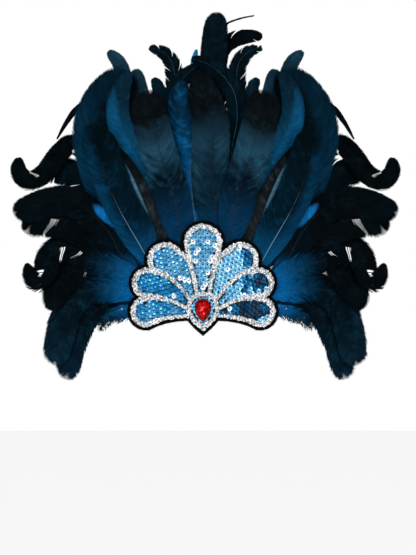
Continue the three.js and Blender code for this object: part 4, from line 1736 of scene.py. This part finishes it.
@dataclass
class Applique:
    """The shell: felt, petals with their sequins, and the trim."""

    petals: tuple[Petal, ...] = PETALS
    petal_seed: float = 10.0
    petal_seed_step: float = 600.0
    trim_seed: float = 3.0
    felt_seed: float = 5.0

    def dress_solids(self) -> None:
        """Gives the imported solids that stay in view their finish."""
        finishes = {"felt_backing": BLACK_FELT, "silver_trim": SILVER_TAPE}
        finishes.update({petal.node: NAVY_NET for petal in self.petals})
        for node, finish in finishes.items():
            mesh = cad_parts[node].data
            mesh.materials.clear()
            mesh.materials.append(finish.material())

    def build(self) -> None:
        """Dresses the solids, lays the sequins on petals and trim, and stands fibres on the felt's edge."""
        self.dress_solids()
        graph = SequinRows().tree()
        for i, petal in enumerate(self.petals):
            attach(grow(f"{petal.node}_sequins", graph, {
                **petal.inputs(), "Seed": self.petal_seed + i * self.petal_seed_step,
                "Film": BLUE_FILM.material(),
                "Thread": SEWING_THREAD.material()}), "sequins_blue")
        attach(grow("trim_sequins", TrimCrust().tree(), {
            "Trim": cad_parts["silver_trim"], "Seed": self.trim_seed, "Film": SILVER_FILM.material()}),
            "sequins_silver")
        attach(grow("felt_fibres", FeltFuzz().tree(), {
            "Felt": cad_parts["felt_backing"], "Seed": self.felt_seed, "Wool": BLACK_FELT.material()}),
            "felt_black")


# Pad and strap

@dataclass
class StitchRow:
    """The node tree that lays stitches end to end along a line."""

    half_length: float = 0.0013
    radius: float = 0.0003
    slant: float = 0.35

    def tree(self) -> Graph:
        """Builds the tree.

        Returns:
            The tree, with its inputs named.
        """
        graph = Graph.growth("stitch_row", Int="Stitches", Float="Seed", Material="Thread")
        count, seed = graph.take("Stitches", "Seed")
        even = graph.evened(graph.line_from(graph.take("Geometry")), count)
        x, y, z = graph.split(graph.node("GeometryNodeInputTangent").outputs[0])
        lean = graph.chance(graph.index() + seed).swing(self.slant)
        turned = graph.node("FunctionNodeAlignRotationToVector", {
            "Vector": graph.vector(x + z * lean, y, z - x * lean)}, axis="X")
        ball = graph.node("GeometryNodeMeshUVSphere", {"Segments": 8, "Rings": 6, "Radius": 1.0})
        stitch = graph.node("GeometryNodeTransform", {
            "Geometry": ball.outputs[0], "Scale": (self.half_length, self.radius, self.radius)})
        row = graph.copies(even, stitch.outputs[0], rotation=turned.outputs[0])
        return graph.finish(graph.painted(row, "Thread"))


@dataclass
class QuillPad:
    """The felt pad that the quills stand in: an arch with a rounded edge, stitched at the back."""

    centre: Pair = (0.0, 0.012)
    half: float = 0.064
    rise: float = 0.050
    drop: float = 0.018
    corner: float = 0.008
    back: float = -0.0959
    thick: float = 0.022
    arch_steps: int = 36
    corner_steps: int = 8
    base_steps: int = 12
    shares: tuple[float, ...] = (1.0, 0.985, 0.95, 0.9, 0.8, 0.6, 0.4, 0.2, 0.02)
    insets: tuple[float, ...] = (0.0045, 0.0016, 0.0003, 0.0, 0.0006, 0.0003, 0.0002, 0.0, 0.0)
    fill: float = 0.9
    stitch_rows: tuple[float, ...] = (0.93, 0.45)
    stitch_pitch: float = 0.0036
    stitch_seed: float = 3.0

    def outline(self) -> np.ndarray:
        """Points round the pad: an arch above, and rounded corners below.

        Returns:
            Place across and up of each point.
        """
        arch = [(self.half * math.cos(turn), self.rise * math.sin(turn))
                for turn in np.linspace(0.0, math.pi, self.arch_steps)]
        left = [(-self.half + self.corner * (1 + math.cos(turn)),
                 self.corner - self.drop + self.corner * math.sin(turn))
                for turn in np.linspace(math.pi, 1.5 * math.pi, self.corner_steps)]
        left += [(x, -self.drop) for x in np.linspace(-self.half + self.corner, 0.0, self.base_steps)[1:]]
        right = [(-x, z) for x, z in reversed(left[:-1])]
        return np.array(arch + left + right)

    def ring(self, share: float, y: float) -> list[tuple[float, float, float]]:
        """Points round the pad at a depth.

        Args:
            share: How wide the ring is, with 1 for the whole pad.
            y: Its depth in the middle of the crown.

        Returns:
            The points, which follow the crown's bow.
        """
        centre = np.array(self.centre)
        return [(x, y + CROWN.folded(x), z) for x, z in centre + (self.outline() - centre) * share]

    def build(self) -> None:
        """Makes the pad and its stitches."""
        back = [self.ring(share, self.back - inset) for share, inset in zip(self.shares, self.insets)]
        front = [self.ring(share, self.back - self.thick + inset)
                 for share, inset in zip(self.shares, self.insets)]
        rings = front[::-1] + back
        pad = solid("quill_pad_felt", [point for ring in rings for point in ring],
                    walls(len(rings), len(rings[0])), BLACK_FELT, smooth=True)
        attach(pad, "felt_black", "quill_pad")
        for row, share in enumerate(self.stitch_rows):
            self.stitch(row, share)

    def stitch(self, row: int, share: float) -> None:
        """Sews one row round the pad's back.

        Args:
            row: Its number.
            share: How wide it is, with 1 for the whole pad.
        """
        line = self.ring(share, self.back)
        edges = [(i, (i + 1) % len(line)) for i in range(len(line))]
        length = sum(math.dist(line[i], line[j]) for i, j in edges)
        name = f"quill_pad_stitches_{row + 1}"
        attach(grow(name, StitchRow().tree(), {
            "Stitches": round(length / self.stitch_pitch), "Seed": self.stitch_seed + row,
            "Thread": PAD_THREAD.material()}, mesh_of(name, line, edges)), "felt_black")


@dataclass
class HeadLoop:
    """The ribbed elastic loop round the head. side holds its line past the pad, in millimetres."""

    height: float = 0.025
    wall: float = 0.0016
    front: float = 0.0956
    flat_half: float = 0.050
    flat_steps: int = 12
    side_steps: int = 12
    ribs: int = 9
    rib_steps: int = 6
    rib_depth: float = 0.00035
    side: tuple[Pair, ...] = ((66, -75), (75, -49), (77.5, -10), (74, 28), (61, 63), (34, 87), (0, 95.6))

    def line(self) -> np.ndarray:
        """Points round the loop, seen from above.

        Returns:
            Place across and depth of each point.
        """
        flat = [(x, CROWN.folded(x) - self.front) for x in np.linspace(0.0, self.flat_half, self.flat_steps)]
        rest = smooth_path([flat[-1], *[(x * MM, y * MM) for x, y in self.side]], self.side_steps)
        right = np.vstack([flat[:-1], rest])
        left = right[-2:0:-1] * np.array((-1.0, 1.0))
        return np.vstack([right, left])

    def section(self) -> list[Pair]:
        """The strap's cross-section: distance inwards, and height, with ribs on both faces.

        Returns:
            Its points.
        """
        steps = self.ribs * self.rib_steps
        ups = np.linspace(-self.height / 2, self.height / 2, steps + 1)
        dents = [self.rib_depth * (0.5 - 0.5 * math.cos(2 * math.pi * self.ribs * i / steps))
                 for i in range(steps + 1)]
        outside = [(self.rib_depth - dent, up) for dent, up in zip(dents, ups)]
        inside = [(self.wall - self.rib_depth + dent, up) for dent, up in zip(dents, ups)]
        return outside + inside[::-1]

    def build(self) -> None:
        """Sweeps the ribbed section round the loop."""
        line, section = self.line(), self.section()
        ahead = np.roll(line, -1, axis=0) - np.roll(line, 1, axis=0)
        ahead /= np.linalg.norm(ahead, axis=1)[:, None]
        inward = np.stack([-ahead[:, 1], ahead[:, 0]], axis=1)
        lengths = np.concatenate([[0.0], np.cumsum(np.linalg.norm(np.diff(line, axis=0), axis=1))])
        points, marks = [], []
        for place, normal, length in zip(line, inward, lengths):
            points += [(*(place + normal * deep), up) for deep, up in section]
            marks += [(length, up, deep) for deep, up in section]
        strap = solid("head_strap_elastic", points, walls(len(line), len(section), closed=True),
                      ElasticFinish(), smooth=True)
        kept = strap.data.attributes.new("strap", "FLOAT_VECTOR", "POINT")
        kept.data.foreach_set("vector", np.ravel(marks))
        attach(strap, "elastic_black", "head_strap")


# Studio

@dataclass(frozen=True)
class Lamp:
    """A soft round light that faces the crown's middle."""

    name: str
    place: tuple[float, float, float]
    size: float
    power: float

    def build(self) -> None:
        """Hangs the lamp and turns it."""
        lamp = bpy.data.lights.new(self.name, "AREA")
        lamp.shape = "DISK"
        lamp.size = self.size
        lamp.energy = self.power
        holder = shown(self.name, lamp)
        holder.location = self.place
        aim = np.array(CROWN_MIDDLE) - np.array(self.place)
        yaw = math.atan2(aim[1], aim[0])
        pitch = math.atan2(math.hypot(aim[0], aim[1]), -aim[2])
        holder.rotation_euler = (pitch, 0.0, yaw - math.pi / 2)


@dataclass
class Studio:
    """Camera at the photograph's angle, soft lights, and a plain pale floor."""

    camera_place: tuple[float, float, float] = (0.0055, -5.12, 0.02475)
    lens: float = 294.8
    sensor: float = 36.0
    view_end: float = 100.0
    floor_height: float = -0.62
    floor_half: float = 14.0
    floor_colour: str = "fbfbfb"
    world_strength: float = 1.0
    mirror_strength: float = 0.45
    mirror_tilt: Pair = (0.6, 0.25)
    mirror_level: float = 0.25
    lamps: tuple[Lamp, ...] = (
        Lamp("key", (-1.2, -2.2, 1.5), 0.9, 30.0), Lamp("fill", (1.6, -2.0, 0.6), 1.2, 14.0),
        Lamp("back", (0.4, 1.8, 1.6), 1.0, 20.0))

    def camera(self) -> None:
        """A level camera that looks along Y."""
        lens = bpy.data.cameras.new("camera")
        lens.lens = self.lens
        lens.sensor_width = self.sensor
        lens.clip_end = self.view_end
        eye = shown("camera", lens)
        eye.location = self.camera_place
        eye.rotation_euler = (math.pi / 2, 0.0, 0.0)
        bpy.context.scene.camera = eye

    def floor(self) -> None:
        """A wide pale floor well below what the camera sees of the headdress."""
        side = self.floor_half
        mesh = mesh_of("floor", [(x, y, self.floor_height) for x, y in (
            (-side, -side), (side, -side), (side, side), (-side, side))], faces=[(0, 1, 2, 3)])
        pale = bpy.data.materials.new("floor_pale")
        pale.use_nodes = True
        shader = pale.node_tree.nodes["Principled BSDF"]
        shader.inputs["Base Color"].default_value = dye(self.floor_colour)
        shader.inputs["Roughness"].default_value = 0.9
        mesh.materials.append(pale)
        shown("floor", mesh)

    def surroundings(self) -> bpy.types.World:
        """An even white room, in which gloss mirrors a bright ceiling and dim walls.

        Returns:
            The world.
        """
        world = bpy.data.worlds.new("studio")
        world.use_nodes = True
        graph = Graph(world.node_tree)
        _, ahead, up = graph.split(graph.node("ShaderNodeTexCoord").outputs["Generated"])
        glossy = Field(graph, graph.node("ShaderNodeLightPath").outputs["Is Glossy Ray"])
        rise, back = self.mirror_tilt
        mirrored = (up * rise - ahead * back + self.mirror_level).held() * self.mirror_strength
        background = world.node_tree.nodes["Background"]
        background.inputs["Color"].default_value = (1.0, 1.0, 1.0, 1.0)
        graph.feed(background.inputs["Strength"], (1.0 - glossy) * self.world_strength + glossy * mirrored)
        return world

    def build(self) -> None:
        """Sets the whole studio."""
        scene = bpy.context.scene
        scene.world = self.surroundings()
        scene.view_settings.view_transform = "Standard"
        self.camera()
        for lamp in self.lamps:
            lamp.build()
        self.floor()


def main() -> None:
    """Builds the classes in order."""
    logging.basicConfig(level=logging.INFO, format="%(name)s %(message)s")
    Studio().build()
    tree = PlumeTree()
    for part in (PlumeFan(tree), HackleTufts(tree), Applique(), RedStone(), QuillPad(), HeadLoop()):
        part.build()


if __name__ == "__main__":
    main()
